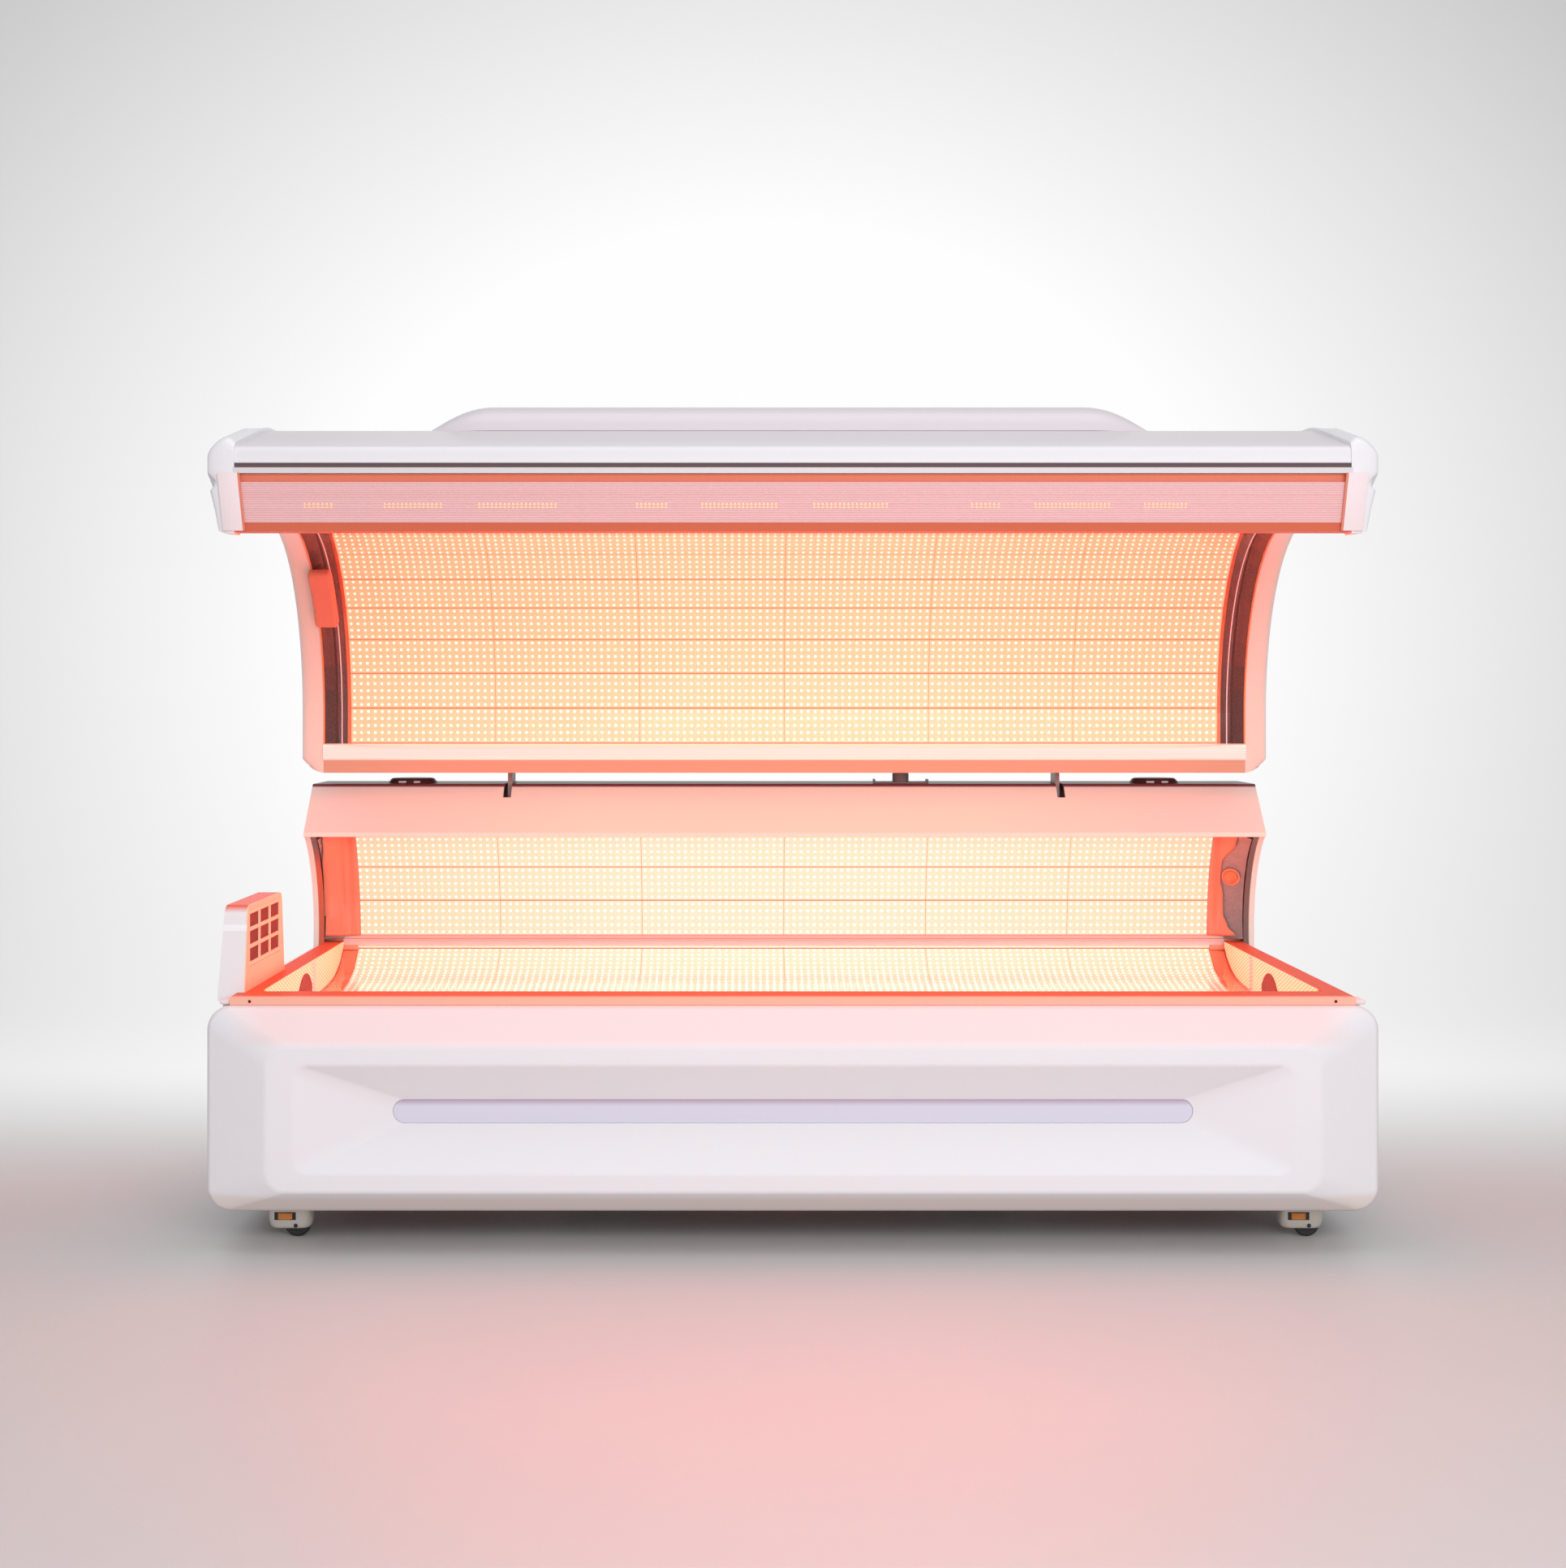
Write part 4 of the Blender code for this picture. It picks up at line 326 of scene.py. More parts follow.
ROSE_RAIL = drawn("rose_rail", (0.81, 0.43, 0.29), (0.78, 0.40, 0.28), (0.30, 0.36), 0.3)
RAIL_PAINTED_GLOW = drawn("rail_painted_glow", (0.97, 0.86, 0.80), (0.94, 0.80, 0.73), (0.18, 0.24), 0.35)
POLISHED = drawn("polished_strip", (0.15, 0.10, 0.095), (0.12, 0.075, 0.07), (0.30, 0.36), 0.45)
BRUSHED_PLATE = drawn("brushed_plate", (0.31, 0.32, 0.32), (0.26, 0.27, 0.27), (0.42, 0.5), 0.45, 0.05)
BED_ACRYLIC = clear_acrylic("bed_clear_acrylic", (1.0, 0.97, 0.96), 1.15)
CANOPY_ACRYLIC = clear_acrylic("canopy_clear_acrylic", (1.0, 0.97, 0.96), 1.2)
BED_BOARD = glowing_board("bed_board", (3.0, 0.60, 0.44), (3.0, 0.50, 0.32), (0.5, 0.28, 0.2))
BED_DIODE = glowing_board("bed_diode", (3.0, 0.95, 0.92), (3.0, 0.92, 0.86), (0.6, 0.4, 0.35))
CANOPY_BOARD = glowing_board("canopy_board", (3.0, 0.48, 0.27), (3.0, 0.35, 0.17), (0.5, 0.26, 0.18))
CANOPY_DIODE = glowing_board("canopy_diode", (3.0, 0.90, 0.80), (3.0, 0.86, 0.72), (0.6, 0.4, 0.35))
# painted glow: small discs on the lip that glow though they are no lamp
PAINTED_GLINT_GLOW = glowing_board("painted_glint_glow", (1.0, 0.74, 0.32), (1.0, 0.62, 0.26), (0.20, 0.12, 0.07))
for small_light in (BED_DIODE, CANOPY_DIODE, PAINTED_GLINT_GLOW):
    small_light.cycles.emission_sampling = "NONE"

BAR_PAINTED_SHADE_LOW = 0.012
BAR_PAINTED_SHADE_HIGH = 0.001
END_DOT_PITCHES = (("Y", 0.024), ("Z", 0.0085))


def light_bar_finish():
    """Opal diffuser, glowing a little along its middle, with painted shade darkening the top of the bar."""
    material, tree, shader = new_material("opal_diffuser")
    place = object_place(tree)
    cloud = noise(tree, stretched(tree, place, (1.5, 1, 30)), 1.0, 3)
    colour = blend_colours(tree, cloud, (0.62, 0.61, 0.72, 1), (0.67, 0.66, 0.77, 1))
    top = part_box("front_light_bar")[1].z
    # painted shade: the bar darker along its top, where the slot's upper edge shades it
    shade = spread(tree, split(tree, place)["Z"], top - BAR_PAINTED_SHADE_LOW, top - BAR_PAINTED_SHADE_HIGH)
    colour = blend_colours(tree, shade, colour, (0.46, 0.36, 0.46, 1))
    tree.links.new(colour, shader.inputs["Base Color"])
    tree.links.new(colour, shader.inputs["Emission Color"])
    shader.inputs["Emission Strength"].default_value = 0.08
    shader.inputs["Roughness"].default_value = 0.25
    return material


def end_board_finish():
    """Lit boards seen at a flat angle: cream rows of diodes on warm orange."""
    material, tree, shader = new_material("end_board")
    apart = split(tree, object_place(tree))
    waves = []
    for axis, pitch in END_DOT_PITCHES:
        waves.append(calculate(tree, "SINE", calculate(tree, "MULTIPLY", apart[axis], 2 * math.pi / pitch)))
    dots = spread(tree, calculate(tree, "MULTIPLY", *waves), -0.1, 0.5)
    colour = blend_colours(tree, dots, (1.0, 0.33, 0.14, 1), (1.2, 0.78, 0.50, 1))
    tree.links.new(colour, shader.inputs["Emission Color"])
    shader.inputs["Emission Strength"].default_value = 0.85
    shader.inputs["Base Color"].default_value = (0.5, 0.2, 0.1, 1)
    shader.inputs["Roughness"].default_value = 0.3
    return material


def tinted(name, finish, colour, *zones):
    """A copy of a finish that turns to another colour where its zones, as (axis, from, to), overlap."""
    material = finish.copy()
    material.name = name
    tree = material.node_tree
    shader = tree.nodes["Principled BSDF"]
    plain = shader.inputs["Base Color"].links[0].from_socket
    apart = split(tree, object_place(tree))
    share = None
    for axis, start, end in zones:
        place = apart[axis[-1]]
        if axis == "end X":
            place = calculate(tree, "ABSOLUTE", place)
        inside = spread(tree, place, start, end)
        share = inside if share is None else calculate(tree, "MULTIPLY", share, inside)
    tree.links.new(blend_colours(tree, share, plain, (*colour, 1)), shader.inputs["Base Color"])
    return material


LIGHT_BAR = light_bar_finish()
END_BOARD = end_board_finish()
# painted glow: the caps turn peach round the inside of the arch, standing in for the boards' light on them
CAP_GLOW_ZONES = (("Z", 1.47, 1.42), ("Y", -0.53, -0.47), ("Y", 0.44, 0.38), ("end X", 1.100, 1.094))
CAP_FINISH = tinted("cap_moulding_painted_glow", WHITE_MOULDING, (0.94, 0.70, 0.60), *CAP_GLOW_ZONES)
# painted shade: the front moulding darker and browner towards the bottom
FRONT_FOOT_SHADE = tinted("front_foot_shade", WHITE_MOULDING, (0.78, 0.70, 0.67), ("Z", 0.112, 0.100))
# painted glow: the front's upper slope turns pink, standing in for the canopy boards' red light falling on it
FRONT_GLOW_ZONES = (("Z", 0.384, 0.400), ("end X", 1.055, 0.990))
FRONT_FINISH = tinted("front_white_painted_glow", FRONT_FOOT_SHADE, (0.86, 0.735, 0.745), *FRONT_GLOW_ZONES)
# painted shade: the shell and its top cover turn greyer towards the top
SHELL_FINISH = tinted("shell_moulding_top_shade", WHITE_MOULDING, (0.72, 0.66, 0.69), ("Z", 1.48, 1.53))
CHEEK_INSIDE = ("end X", 1.0735, 1.0715)
CHEEK_OUTSIDE = tinted("cheek_outside", BLUSH_PLASTIC, (0.84, 0.80, 0.82), ("end X", 1.0832, 1.0848))
# painted shade: the cheeks dark inside their outer few millimetres, so only a thin lit front edge shows
CHEEK_FINISH = tinted("cheek_moulding_inner_shade", CHEEK_OUTSIDE, (0.20, 0.13, 0.12), CHEEK_INSIDE)
# painted red light: the left cheek's inner part coral low down, standing in for the boards' light on it
LEFT_CHEEK_GLOW_ZONES = (CHEEK_INSIDE, ("Z", 0.700, 0.640))
LEFT_CHEEK_FINISH = tinted("left_cheek_moulding_painted_glow", CHEEK_FINISH, (0.66, 0.14, 0.07), *LEFT_CHEEK_GLOW_ZONES)
# painted glow: the visor turns pinker towards its ends
VISOR_GLOW_ENDS = tinted("visor_glow_ends", BLUSH_PLASTIC, (0.84, 0.72, 0.655), ("end X", 0.45, 1.0))
# painted shade: the visor's top face dark mauve
VISOR_FINISH = tinted("visor_moulding_top_shade", VISOR_GLOW_ENDS, (0.20, 0.05, 0.065), ("Z", 0.829, 0.8325))
# painted red light: the tower's top face coral, standing in for the canopy boards' light on it
TOWER_TOP_GLOW = tinted("tower_top_painted_glow", WHITE_MOULDING, (0.72, 0.12, 0.06), ("Z", 0.622, 0.635))
# painted glow: the tower's side towards the bed peach, standing in for the boards' light on it
TOWER_FINISH = tinted("tower_moulding_inner_glow", TOWER_TOP_GLOW, (0.93, 0.66, 0.46), ("X", -1.0478, -1.0468))
# painted light: the rim's front face lighter peach than its sides
RIM_FINISH = tinted("rim_moulding_lit_front", RIM_CORAL, (0.93, 0.48, 0.36), ("Y", -0.535, -0.552))

for dull in (VISOR_FINISH, TOWER_FINISH, PORT_RED, RIM_FINISH, POLISHED):
    dull_shader = dull.node_tree.nodes["Principled BSDF"]
    dull_shader.inputs["Specular IOR Level"].default_value = 0.1
    dull_shader.inputs["Coat Weight"].default_value = 0
# painted highlight: a faint cream glow on the rail bar, which is no lamp
rail_glow_shader = RAIL_PAINTED_GLOW.node_tree.nodes["Principled BSDF"]
rail_glow_shader.inputs["Emission Color"].default_value = (1.0, 0.88, 0.74, 1)
rail_glow_shader.inputs["Emission Strength"].default_value = 0.22

NODE_FINISHES = {
    WHITE_MOULDING: "left_end_panel right_end_panel rear_cover",
    FRONT_FINISH: "front_panel",
    SHELL_FINISH: "canopy_shell canopy_top_cover",
    CAP_FINISH: "canopy_left_cap canopy_right_cap",
    CHEEK_FINISH: "right_cheek",
    LEFT_CHEEK_FINISH: "left_cheek",
    VISOR_FINISH: "rear_visor",
    TOWER_FINISH: "tower_shell",
    GRILLE_PEACH_GLOW: "tower_grille",
    SEAM_ROSE: "seam_rail",
    VENT_PLUM: "left_vent_cap right_vent_cap",
    ARM_ROSE: "left_hinge_arm right_hinge_arm",
    BRUSHED_PLATE: "left_bed_reflector right_bed_reflector",
    RIM_FINISH: "bed_rim",
    CORAL_PLASTIC: "canopy_grab_block",
    BOARD_TRAY: "bed_led_panel rear_led_panel canopy_led_panel",
    BED_ACRYLIC: "bed_acrylic",
    CANOPY_ACRYLIC: "canopy_acrylic",
    LIGHT_BAR: "front_light_bar",
    ALUMINIUM: "canopy_front_extrusion",
    SILVER_TRIM: "canopy_trim_strip",
    CORAL_GLOSS: "stop_button_bezel",
    BUTTON_CORAL: "stop_button",
    ROSE_RAIL: "canopy_lower_rail",
    POLISHED: "canopy_left_reflector canopy_right_reflector",
    PAINTED_STEEL: "chassis_frame cable_spout left_hinge_bracket right_hinge_bracket left_hinge_pin "
    "right_hinge_pin left_spring_drum right_spring_drum left_led_driver right_led_driver",
    BLACK_PLASTIC: "power_inlet tower_fan_rotor control_box",
}
CASTOR_FINISHES = {"hood": HOOD_METAL, "wheel": BLACK_PLASTIC, "dial": ORANGE_PLASTIC}


def dress_nodes():
    finishes = [(name, finish) for finish, names in NODE_FINISHES.items() for name in names.split()]
    for castor in CASTORS:
        finishes += [(f"{castor}_castor_{part}", finish) for part, finish in CASTOR_FINISHES.items()]
    for name, finish in finishes:
        nodes[name].data.materials.clear()
        nodes[name].data.materials.append(finish)


dress_nodes()


# Modelling helpers

MERGE_DISTANCE = 0.00001
FLAT_ANGLE = math.radians(0.5)


def in_scene(name, data):
    holder = bpy.data.objects.new(name, data)
    bpy.context.scene.collection.objects.link(holder)
    return holder


def finished(work, name, material, body, smooth_angle=40):
    """The piece of a bmesh, dressed and riding on its body."""
    mesh = bpy.data.meshes.new(name)
    work.to_mesh(mesh)
    work.free()
    mesh.shade_smooth()
    mesh.set_sharp_from_angle(angle=math.radians(smooth_angle))
    mesh.materials.append(material)
    piece = in_scene(name, mesh)
    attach(piece, body)
    return piece


def even_shading(piece):
    piece.modifiers.new("even_shading", "WEIGHTED_NORMAL").keep_sharp = True


def bow(start, end, sag, steps=48):
    """Points of the arc between two (y, z) places that bows sag to the right of its way."""
    start = Vector(start)
    end = Vector(end)
    chord = (end - start).length
    radius = (chord * chord / 4 + sag * sag) / (2 * sag)
    half = math.asin(chord / 2 / radius)
    along = (end - start).normalized()
    out = Vector((along.y, -along.x))
    centre = (start + end) / 2 + out * (sag - radius)
    turns = [half * (2 * step / steps - 1) for step in range(steps + 1)]
    return [centre + radius * (along * math.sin(turn) + out * math.cos(turn)) for turn in turns]


def along_path(path, distance):
    """The point at a distance along a path of (y, z) points."""
    for before, after in zip(path, path[1:]):
        step = (after - before).length
        if distance <= step:
            return before.lerp(after, distance / step)
        distance -= step
    return path[-1]


def path_length(path):
    return sum((after - before).length for before, after in zip(path, path[1:]))


def moved_verts(geometry):
    return [part for part in geometry if isinstance(part, bmesh.types.BMVert)]


def trace(work, points, closed=True):
    """Vertices and edges of a line through points, drawn by pushing one vertex along."""
    verts = bmesh.ops.create_vert(work, co=points[0])["vert"]
    edges = []
    for point in points[1:]:
        grown = bmesh.ops.extrude_vert_indiv(work, verts=verts[-1:])
        grown["verts"][0].co = point
        verts = verts + grown["verts"]
        edges += grown["edges"]
    if closed:
        edges += bmesh.ops.contextual_create(work, geom=[verts[-1], verts[0]])["edges"]
    return verts, edges


def merged_copy(node):
    """A bmesh of a CAD node, with its loose triangles joined into whole faces."""
    work = bmesh.new()
    work.from_mesh(nodes[node].data)
    bmesh.ops.remove_doubles(work, verts=work.verts[:], dist=MERGE_DISTANCE)
    bmesh.ops.dissolve_limit(work, angle_limit=FLAT_ANGLE, verts=work.verts[:], edges=work.edges[:])
    return work


def lofted(work, outlines, closed=True):
    """Skin through outlines of as many points each, grown from the first one; returns their edges."""
    verts, edges = trace(work, outlines[0], closed)
    rings = [edges]
    for outline in outlines[1:]:
        grown = bmesh.ops.extrude_edge_only(work, edges=edges)["geom"]
        fresh = set(moved_verts(grown))
        following = []
        for vert, point in zip(verts, outline):
            neighbours = [edge.other_vert(vert) for edge in vert.link_edges]
            twin = next(other for other in neighbours if other in fresh)
            twin.co = point
            following.append(twin)
        verts = following
        edges = [part for part in grown if isinstance(part, bmesh.types.BMEdge)]
        edges = [edge for edge in edges if fresh.issuperset(edge.verts)]
        rings.append(edges)
    bmesh.ops.recalc_face_normals(work, faces=work.faces[:])
    return rings


def round_edges(work, edges, offset, segments, clamp=False):
    bmesh.ops.bevel(
        work,
        geom=edges,
        offset=offset,
        segments=segments,
        profile=0.5,
        affect="EDGES",
        material=-1,
        clamp_overlap=clamp,
    )


def stud(work, place, base, top, depth, sides):
    """A round stud added to a bmesh, with its radius at the base and at the top."""
    bmesh.ops.create_cone(
        work, cap_ends=True, segments=sides, radius1=base, radius2=top, depth=depth, matrix=place
    )


def prism(points, way):
    """A flat outline of (x, y, z) points pushed out along a way."""
    work = bmesh.new()
    face = bmesh.ops.contextual_create(work, geom=trace(work, points)[1])["faces"][0]
    grown = bmesh.ops.extrude_face_region(work, geom=[face])["geom"]
    bmesh.ops.translate(work, verts=moved_verts(grown), vec=way)
    bmesh.ops.recalc_face_normals(work, faces=work.faces[:])
    return work


def side_prism(outline, start, end):
    """An outline in (y, z) run along X between two places."""
    return prism([(start, y, z) for y, z in outline], (end - start, 0, 0))


def soft_box(low, high, edge, segments=3):
    """A box between two corners with rounded edges."""
    low = Vector(low)
    high = Vector(high)
    work = bmesh.new()
    size = Matrix.Diagonal((*(high - low), 1))
    bmesh.ops.create_cube(work, size=1, matrix=Matrix.Translation((low + high) / 2) @ size)
    round_edges(work, work.edges[:], edge, segments)
    return work


def side_block(side, across, deep, tall, edge, segments):
    """A soft box on one side of the bed, between two places each along X, Y and Z."""
    near, far = sorted(side * x for x in across)
    return soft_box((near, deep[0], tall[0]), (far, deep[1], tall[1]), edge, segments)


def rounded_path(corners, steps=16):
    """Points through (y, z, radius) corners, with each corner turned as an arc."""
    places = [Vector((y, z)) for y, z, radius in corners]
    path = []
    for spot, (y, z, radius) in enumerate(corners):
        corner = places[spot]
        before = (places[spot - 1] - corner).normalized()
        after = (places[(spot + 1) % len(places)] - corner).normalized()
        if radius == 0:
            path.append(corner)
            continue
        half = before.angle(after) / 2
        centre = corner + (before + after).normalized() * (radius / math.sin(half))
        spoke = corner + before * (radius / math.tan(half)) - centre
        turn = math.copysign(math.pi - 2 * half, before.x * after.y - before.y * after.x)
        path += [centre + Matrix.Rotation(-turn * step / steps, 2) @ spoke for step in range(steps + 1)]
    return path


def even_points(path, spacing):
    """A closed path walked at even steps."""
    closed = path + path[:1]
    length = path_length(closed)
    count = round(length / spacing)
    return [along_path(closed, length * step / count) for step in range(count)]


def drawn_in(points, distance):
    """A closed outline, traced with its inside on the right, drawn in by a distance."""
    inner = []
    for spot, point in enumerate(points):
        along = (points[(spot + 1) % len(points)] - points[spot - 1]).normalized()
        inner.append(point + Vector((along.y, -along.x)) * distance)
    return inner


# LED boards and the bed tub

BED_HALF = 0.985
REAR_HALF = 0.984
CANOPY_HALF = 0.992
SHEET_FRONT = (-0.4694, 0.4500)
SHEET_REAR = (0.4550, 0.4715)
SHEET_SAG = 0.070
SHEET_WALL_POWER = 6
SHEET_THICKNESS = 0.008
SHEET_STEPS = 64
BED_SHEET_FACE = 0.022
TRAY_FRONT_MARGIN = 0.019
TRAY_REAR_MARGIN = 0.004
TRAY_THICKNESS = 0.003
TRAY_CLEARANCE = 0.004
PART_ROW = 0.2
REAR_BOARDS = ((0.4645, 0.4855), (0.3555, 0.7660))
REAR_BOARDS_BOW = 0.025
CANOPY_BOARDS = ((0.4050, 0.9315, 0), (0.4100, 1.4450, 0.435), (-0.5230, 1.4300, 0))
CANOPY_BOARD_STEPS = 32


def board_rows(path, pitch):
    """Frames of the flat board rows along a path: X along the bed, Y along the path, Z towards the user."""
    rows = []
    for row in range(round(path_length(path) / pitch - PART_ROW)):
        low = along_path(path, row * pitch)
        high = along_path(path, (row + 1) * pitch)
        up = Vector((0, *(high - low).normalized()))
        across = Vector((1, 0, 0))
        facing = across.cross(up)
        turn = Matrix((across, up, facing)).transposed().to_4x4()
        rows.append((Matrix.Translation((0, *((low + high) / 2))) @ turn, (high - low).length))
    return rows


def diode_patch(width, height):
    """A mesh of the diodes of one board, on its own XY plane."""
    work = bmesh.new()
    for column in range(LEDS_ACROSS):
        for row in range(LEDS_UP):
            x = width * ((column + 0.5) / LEDS_ACROSS - 0.5)
            y = height * ((row + 0.5) / LEDS_UP - 0.5)
            place = Matrix.Translation((x, y, BOARD_THICKNESS + LED_HEIGHT / 2))
            stud(work, place, LED_RADIUS, LED_TOP_RADIUS, LED_HEIGHT, LED_SIDES)
    mesh = bpy.data.meshes.new("diode_patch")
    work.to_mesh(mesh)
    work.free()
    return mesh


def lay_boards(prefix, path, pitch, half_length, board, diode, body):
    """Flat LED boards in rows along a path, and their diodes, one piece for each column of boards."""
    width = 2 * half_length / BOARD_COLUMNS
    rows = board_rows(path, pitch)
    plates = bmesh.new()
    patch = diode_patch(width, rows[0][1])
    for column in range(BOARD_COLUMNS):
        x = width * (column + 0.5) - half_length
        leds = bmesh.new()
        for placed, height in rows:
            spot = Matrix.Translation((x, 0, 0)) @ placed
            size = Matrix.Diagonal((width - COLUMN_GAP, height - ROW_GAP, BOARD_THICKNESS, 1))
            lift = Matrix.Translation((0, 0, BOARD_THICKNESS / 2))
            bmesh.ops.create_cube(plates, size=1, matrix=spot @ lift @ size)
            copy = patch.copy()
            copy.transform(spot)
            leds.from_mesh(copy)
            bpy.data.meshes.remove(copy)
        finished(leds, f"{prefix}_leds_{column + 1}", diode, body)
    finished(plates, f"{prefix}_boards", board, body)


def bed_sheet_path():
    """The bed sheet's upper side from front to rear: a flat floor between steep walls."""
    front = Vector(SHEET_FRONT)
    rear = Vector(SHEET_REAR)
    path = []
    for step in range(SHEET_STEPS + 1):
        share = step / SHEET_STEPS
        wall = abs(2 * share - 1) ** SHEET_WALL_POWER
        path.append(front.lerp(rear, share) - Vector((0, SHEET_SAG * (1 - wall))))
    return path


def below(path, distance):
    """A path from front to rear, moved down along its normals."""
    moved = []
    for spot, point in enumerate(path):
        along = (path[min(spot + 1, len(path) - 1)] - path[max(spot - 1, 0)]).normalized()
        moved.append(point + Vector((along.y, -along.x)) * distance)
    return moved


def bed_board_path():
    face = below(bed_sheet_path(), BED_SHEET_FACE)
    length = path_length(face) - TRAY_FRONT_MARGIN - TRAY_REAR_MARGIN
    steps = range(SHEET_STEPS + 1)
    return [along_path(face, TRAY_FRONT_MARGIN + length * step / SHEET_STEPS) for step in steps]


def bed_tub():
    """The bed sheet and the tray under it with steep walls, and the chassis with its ribs cut to suit."""
    sheet = bed_sheet_path()
    low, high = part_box("bed_acrylic")
    slab = side_prism([*sheet, *reversed(below(sheet, SHEET_THICKNESS))], low.x, high.x)
    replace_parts(finished(slab, "bed_sheet", BED_ACRYLIC, "base"), "bed_acrylic")
    low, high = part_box("bed_led_panel")
    face = bed_board_path()
    tray = side_prism([*face, *reversed(below(face, TRAY_THICKNESS))], low.x, high.x)
    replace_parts(finished(tray, "bed_board_tray", BOARD_TRAY, "base"), "bed_led_panel")
    ribs = bmesh.new()
    ribs.from_mesh(nodes["chassis_frame"].data)
    under = below(face, TRAY_CLEARANCE)
    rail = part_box("seam_rail")
    for vert in ribs.verts:
        if vert.co.y < rail[1].y and under[0].y - SHEET_SAG < vert.co.z < rail[0].z:
            nearest = min(under, key=lambda point: abs(point.x - vert.co.y))
            vert.co.z = min(vert.co.z, nearest.y)
    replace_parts(finished(ribs, "chassis_ladder", PAINTED_STEEL, "base", 30), "chassis_frame")


def rear_board_path():
    return bow(*REAR_BOARDS, REAR_BOARDS_BOW)


def led_boards():
    path = bed_board_path()
    pitch = path_length(path) / round(path_length(path) / BED_ROW)
    lay_boards("bed", path, pitch, BED_HALF, BED_BOARD, BED_DIODE, "base")
    lay_boards("rear", rear_board_path(), REAR_ROW, REAR_HALF, BED_BOARD, BED_DIODE, "base")
    path = rounded_path(CANOPY_BOARDS, CANOPY_BOARD_STEPS)
    lay_boards("canopy", path, CANOPY_ROW, CANOPY_HALF, CANOPY_BOARD, CANOPY_DIODE, "canopy")


bed_tub()
led_boards()


# Front moulding

RING_STEPS = 10
PANEL_CORNER = 0.045
FRAME_MARGINS = (0.120, 0.0455, 0.069)
FRAME_CORNER = 0.038
FRAME_LAND_ENDS = 0.050
FRAME_LAND = 0.034
RECESS_CORNER = 0.026
SLOT_LIP = 0.0003
SLOT_DEPTH = 0.009
FRAME_PROUD = 0.050
PANEL_WALL = 0.0035
EDGE_ROUNDS = (0, 0.010, 0.005, 0.004, 0.002, 0)


def ring(half, low, high, y, corner):
    """Points round a rounded rectangle that faces the front."""
    work = bmesh.new()
    upright = Matrix.Rotation(math.pi / 2, 4, "X") @ Matrix.Diagonal((half, (high - low) / 2, 1, 1))
    shape = Matrix.Translation((0, y, (low + high) / 2)) @ upright
    corners = bmesh.ops.create_grid(work, x_segments=1, y_segments=1, size=1, matrix=shape)["verts"]
    bmesh.ops.bevel(
        work, geom=corners, offset=corner, segments=RING_STEPS, profile=0.5, affect="VERTICES", material=-1
    )
    work.faces.ensure_lookup_table()
    points = [vert.co.copy() for vert in work.faces[0].verts]
    work.free()
    return points


def front_moulding():
    """The pyramid front with a raised frame, crisp lands and a recess down to the light slot."""
    low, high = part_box("front_panel")
    bar_low, bar_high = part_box("front_light_bar")
    base = low.y + FRAME_PROUD
    end, bottom, top = FRAME_MARGINS
    outer = (high.x, low.z, high.z)
    raised = (high.x - end, low.z + bottom, high.z - top)
    recess = (raised[0] - FRAME_LAND_ENDS, raised[1] + FRAME_LAND, raised[2] - FRAME_LAND)
    slot = (bar_high.x + SLOT_LIP, bar_low.z - SLOT_LIP, bar_high.z + SLOT_LIP)
    slot_round = (slot[2] - slot[1]) / 2 - SLOT_LIP
    stations = (
        ring(*outer, high.y, PANEL_CORNER),
        ring(*outer, base, PANEL_CORNER),
        ring(*raised, low.y, FRAME_CORNER),
        ring(*recess, low.y, RECESS_CORNER),
        ring(*slot, base, slot_round),
        ring(*slot, bar_low.y + SLOT_DEPTH, slot_round),
    )
    work = bmesh.new()
    for edges, edge in zip(lofted(work, stations), EDGE_ROUNDS):
        if edge:
            round_edges(work, edges, edge, 4, clamp=True)
    piece = finished(work, "front_moulding", FRONT_FINISH, "base", 50)
    wall = piece.modifiers.new("wall", "SOLIDIFY")
    wall.thickness = PANEL_WALL
    wall.offset = -1
    even_shading(piece)
    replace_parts(piece, "front_panel")


front_moulding()


# Canopy caps and lip

CAP_STEPS = 10
CAP_EDGE = 0.014
CAP_CROWN_SHARE = 0.25
CAP_PROUD = 0.004
CAP_PUFF = 0.011
CAP_PUFF_RISE = 0.06
CAP_PUFF_POWER = 0.7
CAP_OVERLAP = 0.003
CAP_SPACING = 0.008
CAP_TOP_RISE = 0.015
ARCH_FOOT = 0.370
ARCH_BEND = (0.375, 1.410, 0.400)
ARCH_FRONT_HEIGHT = 1.395
NOSE_SHOULDER = (1.5135, 0.022)
CROWN_BEND = (-0.275, 1.5785, 0.500)
REAR_BEND = 0.464
NOTCH_HEIGHT = 1.440
NOTCH_HALF = 0.016
NOTCH_DEPTH = 0.022
NOSE_TAPER = 0.034
NOSE_TAPER_HEIGHT = 0.1
TAIL_HEIGHT = 0.8945
TAIL_CHAMFER = 0.034
TAIL_LENGTH = 0.03
NOSE_BACK = -0.30
NOSE_EASE = 0.1
NOSE_SEAM = -0.013
NOSE_INNER = -0.009
NOSE_OUTER = 0.0285
NOSE_SLANT = 0.011
NOSE_LIFT = 0.001
NOSE_ROUND = 0.0010
NOSE_PLATES = (
    ("plate", NOSE_INNER, NOSE_OUTER, NOSE_BLUSH, "blush_plastic", 0.0040),
    ("seam", NOSE_SEAM, NOSE_INNER, CORAL_PLASTIC, "coral_plastic", 0.0030),
)


